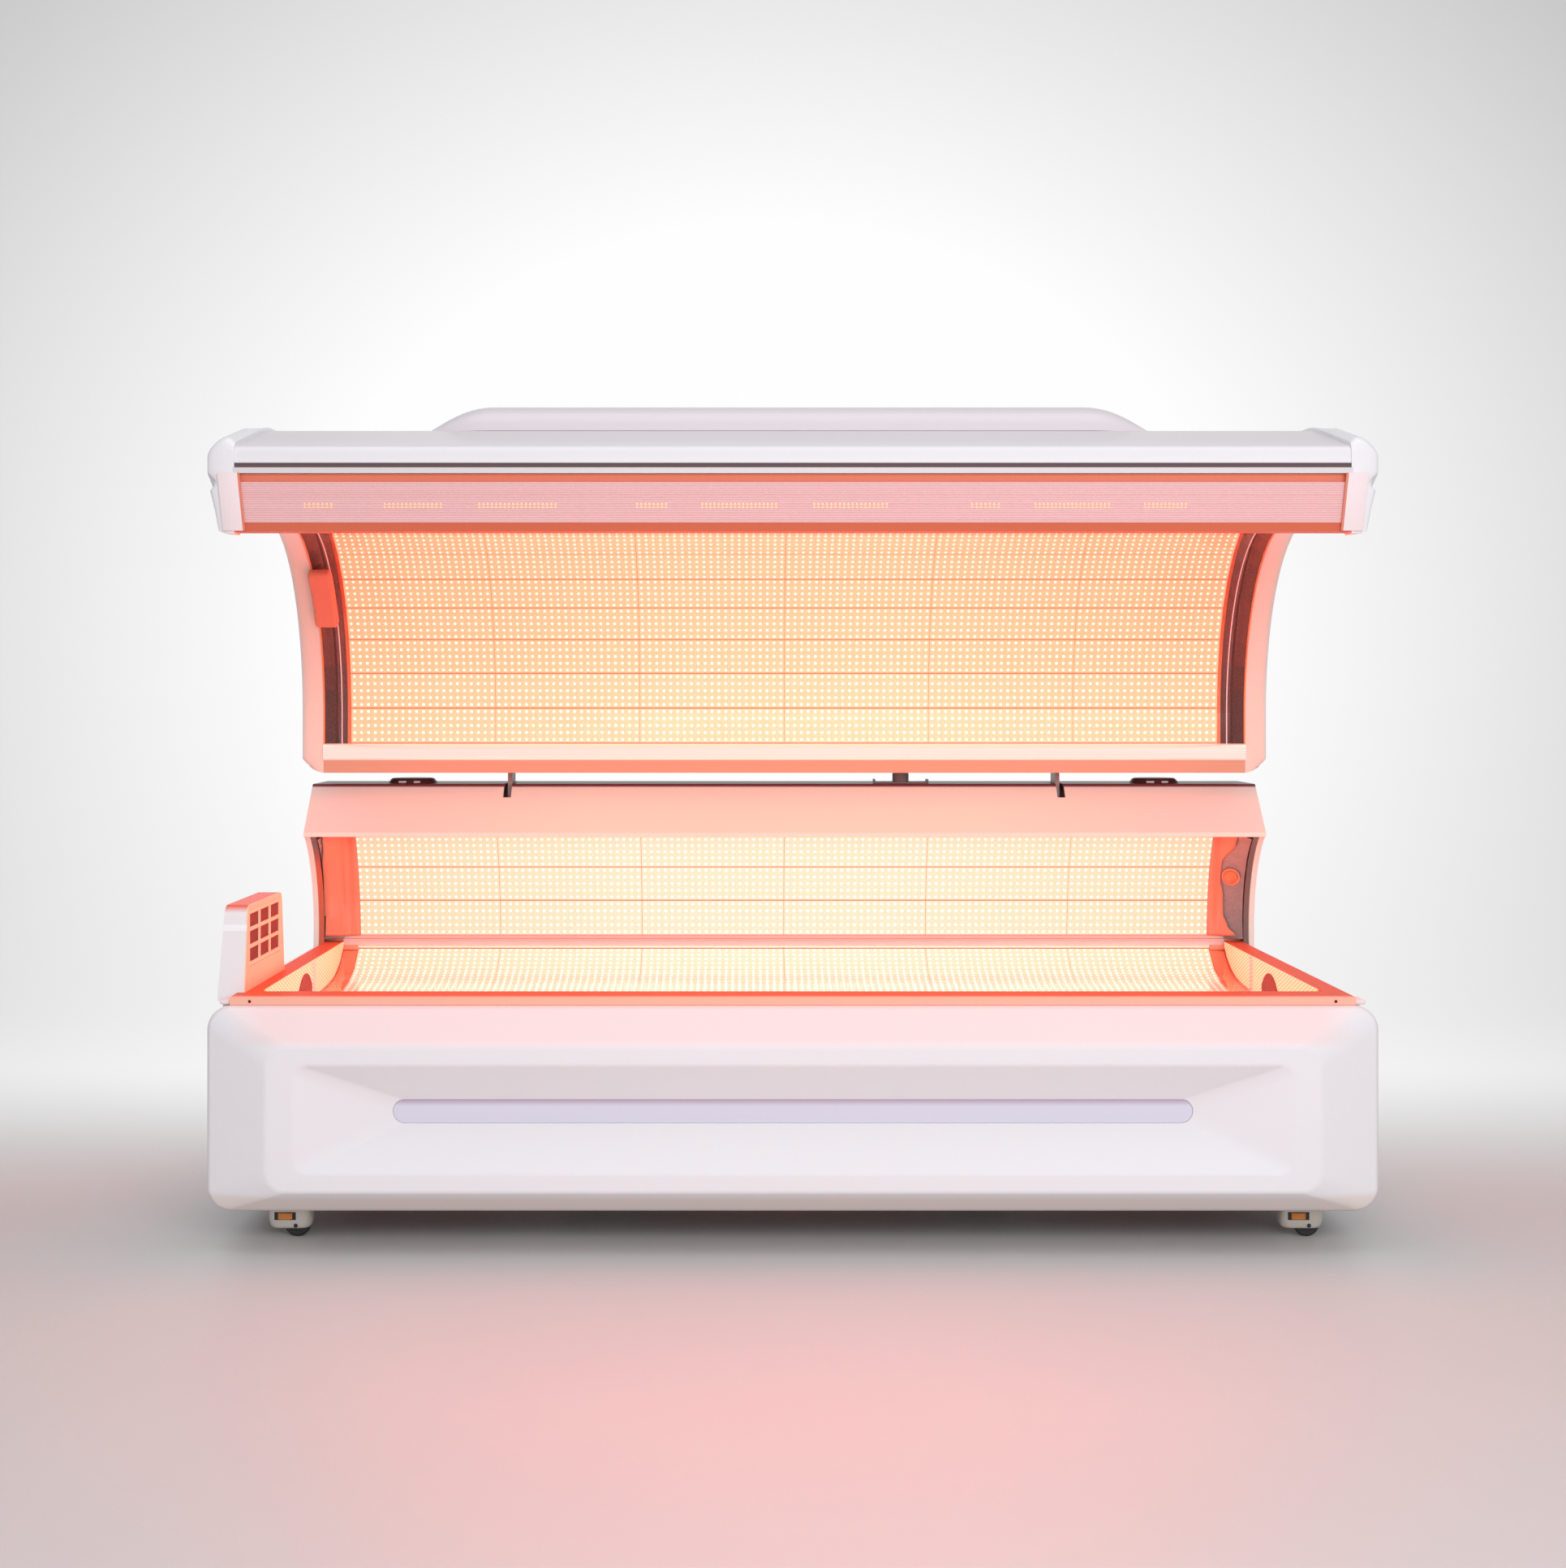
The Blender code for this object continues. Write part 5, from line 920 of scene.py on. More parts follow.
def cap_outline():
    """Side outline of a canopy end cap: the arch, the nose at the lip and the outside of the shell."""
    shell_low, shell_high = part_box("canopy_shell")
    lip_low, lip_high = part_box("canopy_front_extrusion")
    front = shell_low.y - CAP_PROUD
    rear = shell_high.y + CAP_PROUD
    bottom = shell_low.z
    foot = lip_low.z - CAP_PROUD
    corners = [
        (ARCH_FOOT, bottom, 0),
        ARCH_BEND,
        (lip_high.y, ARCH_FRONT_HEIGHT, 0),
        (lip_high.y, foot, 0),
        (front, foot, CAP_PROUD),
        (front, *NOSE_SHOULDER),
        CROWN_BEND,
        (rear, shell_high.z + CAP_TOP_RISE, REAR_BEND),
        (rear, bottom, 0),
    ]
    return even_points(rounded_path(corners), CAP_SPACING)


def limited(value):
    return min(1, max(0, value))


def cap_point(side, x, out, share, point):
    """A point of a cap's outline, with the crown lowered and the nose notched and tapered outwards."""
    y, z = point
    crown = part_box("canopy_front_extrusion")[1].z
    nose = limited((NOSE_BACK - y) / NOSE_EASE)
    notch = NOTCH_DEPTH * max(0, 1 - abs(z - NOTCH_HEIGHT) / NOTCH_HALF)
    taper = NOSE_TAPER * max(0, NOTCH_HEIGHT - z) / NOSE_TAPER_HEIGHT
    swell = CAP_PUFF * math.sin(math.pi * out**CAP_PUFF_POWER)
    puff = swell * limited((z - crown) / CAP_PUFF_RISE) * nose
    tail = TAIL_CHAMFER * max(0, TAIL_HEIGHT - z) / TAIL_LENGTH
    x -= nose * share * (notch + taper) + out * tail
    return (side * x, y, z - max(0, z - crown) * CAP_CROWN_SHARE * share + puff)


def canopy_caps():
    outline = cap_outline()
    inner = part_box("canopy_right_cap")[0].x - CAP_OVERLAP
    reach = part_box("canopy_right_cap")[1].x - inner
    for name, side in SIDES:
        work = bmesh.new()
        outlines = []
        for step in range(CAP_STEPS + 1):
            turn = math.pi / 2 * step / CAP_STEPS
            out = math.sin(turn)
            share = 1 - math.cos(turn)
            line = drawn_in(outline, CAP_EDGE * share)
            outlines.append([cap_point(side, inner + reach * out, out, share, point) for point in line])
        rings = lofted(work, outlines)
        for edges in (rings[0], rings[-1]):
            bmesh.ops.triangle_fill(work, edges=edges, use_beauty=True)
        bmesh.ops.recalc_face_normals(work, faces=work.faces[:])
        cap = finished(work, f"canopy_{name}_end_cap", CAP_FINISH, "canopy", 35)
        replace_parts(cap, f"canopy_{name}_cap")
        nose_plates(name, side)


def nose_plates(name, side):
    """The slanted plate that closes the lip's end, and the coral seam along it."""
    low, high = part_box("canopy_front_extrusion")
    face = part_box("canopy_shell")[0].y - CAP_PROUD
    for title, inner, outer, finish, slot, proud in NOSE_PLATES:
        corners = (
            (side * (high.x + inner), face, high.z + NOSE_LIFT),
            (side * (high.x + outer), face, high.z + NOSE_LIFT),
            (side * (high.x + outer - NOSE_SLANT), face, low.z + NOSE_LIFT),
            (side * (high.x + inner - NOSE_SLANT), face, low.z + NOSE_LIFT),
        )
        work = prism(corners, (0, -proud, 0))
        round_edges(work, work.edges[:], NOSE_ROUND, 2)
        finished(work, f"canopy_{name}_nose_{title}", finish, "canopy")


RIB_COUNT = 18
RIB_PROUD = 0.0016
RIB_SHARES = ((0.25, 0), (0.4, RIB_PROUD), (0.85, RIB_PROUD), (1, 0))
LIP_FOOT = 0.017
LIP_FOOT_GAP = 0.0002
LIP_CHANNEL = 0.016
LIP_WALL = 0.003
CHANNEL_DEPTH = 0.008
CHANNEL_FACE = 0.0031
GROOVE_HEIGHTS = (1.4674, 1.4758)
GROOVE_DEPTHS = (0.0022, 0.0038)


def canopy_lip():
    """The lip's ribbed face, the coral channel above it and the coral foot below it."""
    low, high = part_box("canopy_front_extrusion")
    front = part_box("canopy_shell")[0].y
    band_low = low.z + LIP_FOOT
    band_high = high.z - LIP_CHANNEL
    pitch = (band_high - band_low) / RIB_COUNT
    face = [(front, band_low)]
    for rib in range(RIB_COUNT):
        face += [(front - proud, band_low + (rib + share) * pitch) for share, proud in RIB_SHARES]
    wall = front + LIP_WALL
    deep = front + CHANNEL_DEPTH
    ledge = front + CHANNEL_FACE
    channel = [
        (ledge, band_high - LIP_WALL),
        (deep + LIP_WALL, band_high - LIP_WALL),
        (deep + LIP_WALL, high.z),
        (deep, high.z),
        (deep, band_high),
        (ledge, band_high),
    ]
    foot = [
        (front, low.z),
        (high.y, low.z),
        (high.y, low.z + LIP_WALL),
        (wall, low.z + LIP_WALL),
        (wall, band_low - LIP_FOOT_GAP),
        (front, band_low - LIP_FOOT_GAP),
    ]
    ribs = side_prism([*face, (wall, band_high), (wall, band_low)], low.x, high.x)
    ribbed = finished(ribs, "canopy_lip_ribs", ALUMINIUM, "canopy", 25)
    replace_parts(ribbed, "canopy_front_extrusion")
    for title, outline, finish in (("channel", channel, CORAL_PLASTIC), ("foot", foot, RIM_CORAL)):
        work = side_prism(outline, low.x, high.x)
        finished(work, f"canopy_lip_{title}", finish, "canopy")


def trim_groove():
    """A dark strip of painted shade for the groove between the silver trim and the shell."""
    low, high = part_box("canopy_trim_strip")
    near, far = [low.y + depth for depth in GROOVE_DEPTHS]
    bottom, top = GROOVE_HEIGHTS
    groove = soft_box((low.x, near, bottom), (high.x, far, top), 0.0004, 1)
    finished(groove, "canopy_trim_groove", GROOVE_SHADE, "canopy")


# Groups of painted glow along the lip, small glowing discs that stand in for light through its perforations,
# as (start, end) along X
GLINT_GROUPS = (
    (-0.915, -0.857),
    (-0.765, -0.652),
    (-0.588, -0.437),
    (-0.292, -0.230),
    (-0.170, -0.024),
    (0.040, 0.184),
    (0.336, 0.394),
    (0.455, 0.600),
    (0.660, 0.744),
)
GLINT_PITCH = 0.0078
GLINT_RISE = 0.0058
GLINT_ROWS = 2
GLINT_SIDES = 6
GLINT_RADIUS = 0.0019
GLINT_DEPTH = 0.0004
GLINT_PROUD = 0.0001
GLINT_HEIGHT = 1.3925


def painted_lip_glints():
    """Rows of small glowing discs in each group along the lip, a painted glow for light through its
    perforations.
    """
    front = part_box("canopy_shell")[0].y - RIB_PROUD - GLINT_PROUD
    work = bmesh.new()
    upright = Matrix.Rotation(math.pi / 2, 4, "X")
    for start, end in GLINT_GROUPS:
        count = round((end - start) / GLINT_PITCH)
        for spot in range(count):
            for row in range(GLINT_ROWS):
                x = start + spot * (end - start) / count
                place = Matrix.Translation((x, front, GLINT_HEIGHT + GLINT_RISE * row))
                stud(work, place @ upright, GLINT_RADIUS, GLINT_RADIUS, GLINT_DEPTH, GLINT_SIDES)
    finished(work, "canopy_lip_painted_glints", PAINTED_GLINT_GLOW, "canopy")


RAIL_BAR = ((0.386, 0.8935, 0), (0.362, 0.8935, 0.006), (0.362, 0.9310, 0.012), (0.386, 0.9310, 0))
COVER_RISE_LENGTH = 0.135
COVER_END_SHARE = 0.8
COVER_STATIONS = 12
COVER_STEPS = 24
COVER_POWER = 6
STRIP_PATH = ((0.3703, 0.9152, 0), (0.3750, 1.4104, 0.408), (-0.5247, 1.3953, 0))
STRIP_STEPS = 40
STRIP_CENTRE = (-0.0358, 0.9992)
STRIP_BEAD_PROUD = 0.0016
STRIP_BEADS = (
    ("inner", 1.0062, 1.0084, NOSE_BLUSH, "blush_plastic"),
    ("outer", 1.0462, 1.0495, SEAM_ORANGE, "coral_plastic"),
)


def rail_bar():
    """The bright rounded bar along the top of the canopy's lower rail, with a painted cream glow for its
    highlight.
    """
    low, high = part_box("canopy_lower_rail")
    work = side_prism(rounded_path(RAIL_BAR, 8), low.x, high.x)
    finished(work, "canopy_rail_bar", RAIL_PAINTED_GLOW, "canopy")


def cover_section(x, low, high, share):
    """Points round the top cover at a place along X, at a share of its full height."""
    middle = (low.y + high.y) / 2
    half = (high.y - low.y) / 2 * (COVER_END_SHARE + (1 - COVER_END_SHARE) * share)
    points = []
    for step in range(COVER_STEPS + 1):
        across = -math.cos(math.pi * step / COVER_STEPS)
        rise = math.sqrt(max(0, 1 - across**COVER_POWER))
        points.append((x, middle + half * across, low.z + (high.z - low.z) * share * rise))
    return points


def top_cover():
    """The raised cover on top, rising from each end in one soft sweep."""
    low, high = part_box("canopy_top_cover")
    sections = []
    for side in (-1, 1):
        for step in range(COVER_STATIONS + 1):
            part = step / COVER_STATIONS
            part = part if side < 0 else 1 - part
            x = side * (high.x - COVER_RISE_LENGTH * part)
            sections.append(cover_section(x, low, high, 1 - (1 - part) ** 2))
    work = bmesh.new()
    lofted(work, sections)
    cover = finished(work, "canopy_cover_hood", SHELL_FINISH, "canopy", 50)
    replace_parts(cover, "canopy_top_cover")


def shell_skin():
    """The canopy's shell, with its bend shaded as one smooth sweep."""
    work = merged_copy("canopy_shell")
    skin = finished(work, "canopy_shell_skin", SHELL_FINISH, "canopy", 25)
    even_shading(skin)
    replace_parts(skin, "canopy_shell")


def strip_beads():
    """The two narrow beads along each polished strip inside the canopy."""
    path = rounded_path(STRIP_PATH, STRIP_STEPS)
    centre = Vector(STRIP_CENTRE)
    front = [point + (centre - point).normalized() * STRIP_BEAD_PROUD for point in path]
    for name, side in SIDES:
        for title, near, far, finish, slot in STRIP_BEADS:
            bead = side_prism([*path, *reversed(front)], side * near, side * far)
            finished(bead, f"canopy_{name}_strip_{title}_bead", finish, "canopy")


shell_skin()
canopy_caps()
canopy_lip()
strip_beads()
trim_groove()
painted_lip_glints()
rail_bar()
top_cover()


# Rear wall and bed ends

LEFT_TRIM = ((0.0, 0.0750), (0.3, 0.0745), (0.6, 0.0730), (0.85, 0.066), (1.0, 0.058))
RIGHT_TRIM = (
    (0.0, 0.060),
    (0.08, 0.042),
    (0.18, 0.032),
    (0.34, 0.030),
    (0.5, 0.0215),
    (0.65, 0.0225),
    (0.82, 0.046),
    (1.0, 0.048),
)
TRIM_STEPS = 40
TRIM_LIFT = 0.003
TRIM_STAND = 0.003
TRIM_REACH = 0.9
TRIM_TUCK = 0.004
TRIM_THICKNESS = 0.003
RIDGE_STEPS = 8
RIDGE_POWER = 4
END_BOARD_GAP = 0.002
END_BOARD_FRONT = 0.02
END_BOARD_REAR = 0.012
END_BOARD_SET = 0.003
END_BOARD_THICKNESS = 0.0026
PORT_PLACE = -0.03
PORT_HALF = 0.075
PORT_HEIGHT = 0.066
PORT_LIFT = 0.003
PORT_STAND = (0.0012, 0.0002)
PORT_STEPS = 16
END_STRIP_TALL = 0.005
END_STRIP_GAPS = (0.001, 0.0005)
CORNER_FILLER = ((0.450, 0.4575), (0.452, 0.4625))
SILL_END = 1.0600
SILL_DEEP = (0.460, 0.4700)
SILL_GAP = 0.0002
SILL_OVERLAP = 0.0006


def width_at(widths, share):
    """Width of a rear trim at a share of its height, eased between its set widths."""
    for (low, narrow), (high, wide) in zip(widths, widths[1:]):
        if share <= high:
            part = (share - low) / (high - low)
            return narrow + (wide - narrow) * part * part * (3 - 2 * part)
    return widths[-1][1]


def rear_trims():
    """Coral trims with a waved outer edge, between the rear boards and the brushed end plates."""
    path = rear_board_path()
    length = path_length(path) * TRIM_REACH
    for name, side, widths, ridges in (("left", -1, LEFT_TRIM, 2), ("right", 1, RIGHT_TRIM, 1)):
        plate = nodes[f"{name}_bed_reflector"]
        lines = []
        for spot in range(RIDGE_STEPS * ridges + 1):
            across = spot / (RIDGE_STEPS * ridges)
            crown = TRIM_LIFT * (1 - (2 * (across * ridges % 1) - 1) ** RIDGE_POWER)
            line = []
            for step in range(TRIM_STEPS + 1):
                share = step / TRIM_STEPS
                y, z = along_path(path, length * share)
                x = side * (REAR_HALF - TRIM_TUCK + (width_at(widths, share) + TRIM_TUCK) * across)
                met, place = plate.ray_cast((x, -1, z), (0, 1, 0))[:2]
                y = min(y, place.y) if met else y
                line.append((x, y - TRIM_STAND - crown, z))
            lines.append(line)
        work = bmesh.new()
        lofted(work, lines, closed=False)
        trim = finished(work, f"rear_{name}_trim", CORAL_GLOSS, "base", 60)
        trim.modifiers.new("sheet", "SOLIDIFY").thickness = TRIM_THICKNESS


def bed_ends():
    """Lit end boards above the bed sheet, each with a dark arched port, and the fillers round them."""
    low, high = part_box("bed_acrylic")
    front = low.y + END_BOARD_FRONT
    rear = high.y - END_BOARD_REAR
    inside = [point for point in bed_sheet_path() if front < point.x < rear]
    floor = [point + Vector((0, END_BOARD_GAP)) for point in inside]
    outline = [*floor, Vector((floor[-1].x, high.z)), Vector((floor[0].x, high.z))]
    lowest = min(point.y for point in floor)
    shoulder = lowest + PORT_HEIGHT / 2
    near = PORT_PLACE - PORT_HALF
    far = PORT_PLACE + PORT_HALF
    arch = bow((near, shoulder), (far, shoulder), -PORT_HEIGHT / 2, PORT_STEPS)
    port = [(far, lowest + PORT_LIFT), (near, lowest + PORT_LIFT), *arch]
    boards = bed_board_path()
    strip = [*boards, *(point + Vector((0, END_STRIP_TALL)) for point in reversed(boards))]
    rim_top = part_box("bed_rim")[1].z
    face = high.x - END_BOARD_SET
    port_near, port_far = [face - stand for stand in PORT_STAND]
    strip_near, strip_far = BED_HALF + END_STRIP_GAPS[0], high.x - END_STRIP_GAPS[1]
    slices = (
        ("board", outline, face, face + END_BOARD_THICKNESS, END_BOARD, "led_board"),
        ("port", port, port_near, port_far, PORT_RED, "coral_plastic"),
        ("strip", strip, strip_near, strip_far, CORAL_GLOSS, "coral_plastic"),
    )
    for name, side in SIDES:
        for title, shape, start, end, finish, slot in slices:
            piece = side_prism(shape, side * start, side * end)
            finished(piece, f"bed_{name}_end_{title}", finish, "base")
        plate_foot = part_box(f"{name}_bed_reflector")[0].z
        sill_tall = (rim_top + SILL_GAP, plate_foot + SILL_OVERLAP)
        fillers = (
            ("corner", (BED_HALF, high.x), *CORNER_FILLER),
            ("sill", (high.x + SILL_GAP, SILL_END), SILL_DEEP, sill_tall),
        )
        for title, across, deep, tall in fillers:
            block = side_block(side, across, deep, tall, 0.0008, 2)
            finished(block, f"bed_{name}_{title}_filler", CORAL_GLOSS, "base")


VISOR_BEAD = ((0.3195, 0.7215, 0), (0.3132, 0.7215, 0.002), (0.3132, 0.7322, 0.001), (0.3195, 0.7322, 0))
VENT_SIDES = 64
VENT_TOP_SHARE = 0.42
VENT_ROUND = 0.004
VENT_HIGHLIGHTS = ((-0.026, -0.008), (0.009, 0.024))
HIGHLIGHT_DEPTHS = (0.0012, 0.008)
HIGHLIGHT_HEIGHTS = (0.0010, 0.0055)
SEAM_GAP = 0.0002
SEAM_BEAD = (0.0060, 0.0082)
GLOW_STRIP_DEPTHS = (0.0006, 0.0110)
GLOW_STRIP_DROP = 0.0040
BLOCK_LENGTH = 0.020
BLOCK_DEPTHS = (0.006, 0.060)
BLOCK_HEIGHTS = (0.4574, 0.4660)
RIM_SCREW = (1.022, -0.5600, 0.464)
SCREW_SIDES = 20
SCREW_RADII = (0.0032, 0.0026)
SCREW_DEPTH = 0.0012
LEDGE_GAP = 0.0003
LEDGE_DEEP = 0.012
LEDGE_DROP = 0.0006
FRONT_STRIP_DEPTHS = (0.0090, 0.0120)
FRONT_STRIP_REACH = 0.026
FRONT_STRIP_STEPS = 8
BUTTON_ROUND = 0.006
BUTTON_RIM_ANGLE = math.radians(60)
END_BEADS = (("left", -1, 0.064), ("right", 1, 0.145))
END_BEAD_HALF = 0.004
END_BEAD_STAND = (0.0032, 0.0072)


def visor_details():
    """The bead under the visor's edge, and the dark vent caps on top of it, each with two pale patches of
    painted highlight.
    """
    low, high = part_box("rear_visor")
    bead = side_prism(rounded_path(VISOR_BEAD, 4), low.x, high.x)
    finished(bead, "visor_bead", BLUSH_PLASTIC, "base")
    for name in ("left", "right"):
        low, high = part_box(f"{name}_vent_cap")
        middle = (low + high) / 2
        width = high.x - low.x
        work = bmesh.new()
        place = Matrix.Translation(middle)
        stud(work, place, width / 2, width * VENT_TOP_SHARE, high.z - low.z, VENT_SIDES)
        rims = [edge for edge in work.edges if min(vert.co.z for vert in edge.verts) > middle.z]
        round_edges(work, rims, VENT_ROUND, 4)
        lens = finished(work, f"{name}_vent_lens", VENT_PLUM, "base")
        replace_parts(lens, f"{name}_vent_cap")
        front, back = [low.y + depth for depth in HIGHLIGHT_DEPTHS]
        bottom, top = [low.z + height for height in HIGHLIGHT_HEIGHTS]
        # painted highlights: two pale patches standing in for highlights on each dark cap
        for spot, (start, end) in enumerate(VENT_HIGHLIGHTS):
            highlight_patch = soft_box((middle.x + start, front, bottom), (middle.x + end, back, top), 0.001, 2)
            finished(highlight_patch, f"{name}_vent_highlight_{spot + 1}", STRIPE_WHITE, "base")


def button_dome():
    """The push button with a well rounded rim."""
    work = merged_copy("stop_button")
    rims = [edge for edge in work.edges if edge.calc_face_angle(0) > BUTTON_RIM_ANGLE]
    round_edges(work, rims, BUTTON_ROUND, 6, clamp=True)
    dome = finished(work, "stop_button_dome", BUTTON_CORAL, "stop_button", 60)
    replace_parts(dome, "stop_button")


def bed_ledges():
    """The coral ledge beside each end of the rim, and the strip under the front wall of the bed sheet."""
    across = (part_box("bed_rim")[1].x + LEDGE_GAP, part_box("chassis_frame")[1].x)
    low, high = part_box("right_end_panel")
    deep = (low.y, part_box("right_cheek")[0].y - LEDGE_GAP)
    tall = (high.z - LEDGE_DEEP, high.z - LEDGE_DROP)
    for name, side in SIDES:
        ledge = side_block(side, across, deep, tall, 0.001, 2)
        finished(ledge, f"bed_{name}_ledge", RIM_CORAL, "base")
    walls = [below(bed_sheet_path(), depth) for depth in FRONT_STRIP_DEPTHS]
    reaches = [FRONT_STRIP_REACH * (step + 1) / FRONT_STRIP_STEPS for step in range(FRONT_STRIP_STEPS)]
    upper, lower = [[along_path(wall, reach) for reach in reaches] for wall in walls]
    strip = side_prism([*upper, *reversed(lower)], -BED_HALF, BED_HALF)
    finished(strip, "bed_front_strip", CORAL_GLOSS, "base")


def end_beads():
    """The lit upright bead on each end board, in line with the front edge of the cheek above it."""
    low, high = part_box("bed_acrylic")
    sheet = bed_sheet_path()
    across = [high.x - stand for stand in END_BEAD_STAND]
    for name, side, y in END_BEADS:
        floor = min(sheet, key=lambda point: abs(point.x - y)).y
        bead = side_block(side, across, (y - END_BEAD_HALF, y + END_BEAD_HALF), (floor, high.z), 0.001, 2)
        finished(bead, f"bed_{name}_end_bead", NOSE_BLUSH, "base")


def rim_screws():
    x, y, z = RIM_SCREW
    for name, side in SIDES:
        work = bmesh.new()
        place = Matrix.Translation((side * x, y, z)) @ Matrix.Rotation(math.pi / 2, 4, "X")
        stud(work, place, *SCREW_RADII, SCREW_DEPTH, SCREW_SIDES)
        finished(work, f"bed_{name}_rim_screw", PORT_RED, "base")


def seam_edges():
    """The rose bead above the seam rail, a glowing strip of painted board light below it and the blush blocks
    at the rim's corners.
    """
    low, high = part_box("seam_rail")
    deep, tall = SEAM_BEAD
    bead_low = (low.x, low.y, high.z + SEAM_GAP)
    bead = soft_box(bead_low, (high.x, low.y + deep, high.z + tall), 0.0015, 3)
    finished(bead, "seam_bead", SEAM_ROSE, "base")
    # painted glow: a strip glowing as the boards do, though it is no board, over the shade under the rail
    near, far = [low.y + depth for depth in GLOW_STRIP_DEPTHS]
    lit = soft_box((-BED_HALF, near, low.z - GLOW_STRIP_DROP), (BED_HALF, far, low.z - SEAM_GAP), 0.0004, 1)
    finished(lit, "seam_painted_glow_strip", BED_BOARD, "base")
    low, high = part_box("bed_rim")
    across = (high.x + SEAM_GAP, high.x + BLOCK_LENGTH)
    depths = [low.y + depth for depth in BLOCK_DEPTHS]
    for name, side in SIDES:
        block = side_block(side, across, depths, BLOCK_HEIGHTS, 0.003, 3)
        finished(block, f"rim_{name}_corner_block", NOSE_BLUSH, "base")


rear_trims()
bed_ends()
seam_edges()
visor_details()
bed_ledges()
end_beads()
button_dome()
rim_screws()


# Fan tower

STRIPE_HEIGHTS = (0.5876, 0.5996)
STRIPE_PROUD = 0.0007
STRIPE_SUNK = 0.0004
STRIPE_MARGINS = (0.006, 0.001)
TOWER_LEAN = 0.030
GRILLE_CELLS = 3
# Axis that the bars stand along, with the edge's and the bars' width and how far they are set in
GRILLE_BARS = ((1, 0.010, 0.0085, 0), (2, 0.008, 0.0075, 0.0002))
VENT_SHADE_DEPTHS = (-0.0008, 0.0006)
VENT_SHADE_MARGIN = 0.004


def tower_stripe():
    """The pale stripe across the tower's tapered front."""
    low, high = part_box("tower_shell")
    lean = TOWER_LEAN / (high.z - low.z)
    faces = [(low.y + lean * (z - low.z), z) for z in STRIPE_HEIGHTS]
    outside = [(y - STRIPE_PROUD, z) for y, z in faces]
    inside = [(y + STRIPE_SUNK, z) for y, z in faces]
    start, end = STRIPE_MARGINS
    stripe = side_prism([outside[0], *inside, outside[1]], low.x + start, high.x - end)
    finished(stripe, "tower_stripe", STRIPE_WHITE, "base")


def grille_spans(start, end, edge, bar):
    """Start and end of the grille's edges and bars along one axis."""
    pitch = (end - start - 2 * edge + bar) / GRILLE_CELLS
    stops = [start + edge + pitch * (spot + 1) for spot in range(GRILLE_CELLS - 1)]
    return [(start, start + edge), *((stop - bar, stop) for stop in stops), (end - edge, end)]


def tower_grille():
    """The vent grille of three by three openings, with a dark red sheet of painted shade behind it."""
    low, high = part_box("tower_grille")
    work = bmesh.new()
    for axis, edge, bar, inset in GRILLE_BARS:
        for first, last in grille_spans(low[axis], high[axis], edge, bar):
            bar_low = low + Vector((inset, 0, 0))
            bar_high = high - Vector((inset, 0, 0))
            bar_low[axis] = first
            bar_high[axis] = last
            solid = soft_box(bar_low, bar_high, 0.0006, 1)
            mesh = bpy.data.meshes.new("grille_bar")
            solid.to_mesh(mesh)
            solid.free()
            work.from_mesh(mesh)
            bpy.data.meshes.remove(mesh)
    grille = finished(work, "tower_vent_grille", GRILLE_PEACH_GLOW, "base")
    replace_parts(grille, "tower_grille")
    near, far = [low.x + depth for depth in VENT_SHADE_DEPTHS]
    shade_low = (near, low.y + VENT_SHADE_MARGIN, low.z + VENT_SHADE_MARGIN)
    shade_high = (far, high.y - VENT_SHADE_MARGIN, high.z - VENT_SHADE_MARGIN)
    behind = soft_box(shade_low, shade_high, 0.0004, 1)
    finished(behind, "tower_vent_shade", VENT_SHADE_RED, "base")


tower_stripe()
tower_grille()


# Castors

# Height and share of the full size at each level of a hood
HOOD_STATIONS = (
    (0.0195, 0.86),
    (0.024, 0.95),
    (0.034, 1.0),
    (0.056, 1.0),
    (0.068, 0.95),
    (0.0745, 0.84),
    (0.0768, 0.7),
)
HOOD_CORNER = 0.020
HOOD_CORNER_STEPS = 6
HOOD_PROUD = 0.0005
DIAL_LOW = 0.0375
DIAL_HIGH = 0.0495
DIAL_REACH = 0.0325
DIAL_TEETH = 30
TOOTH_DEPTH = 0.0007
WINDOW_HALF = 0.0205
WINDOW_EDGE = 0.0016
WINDOW_STAND = (0.0002, 0.0009)


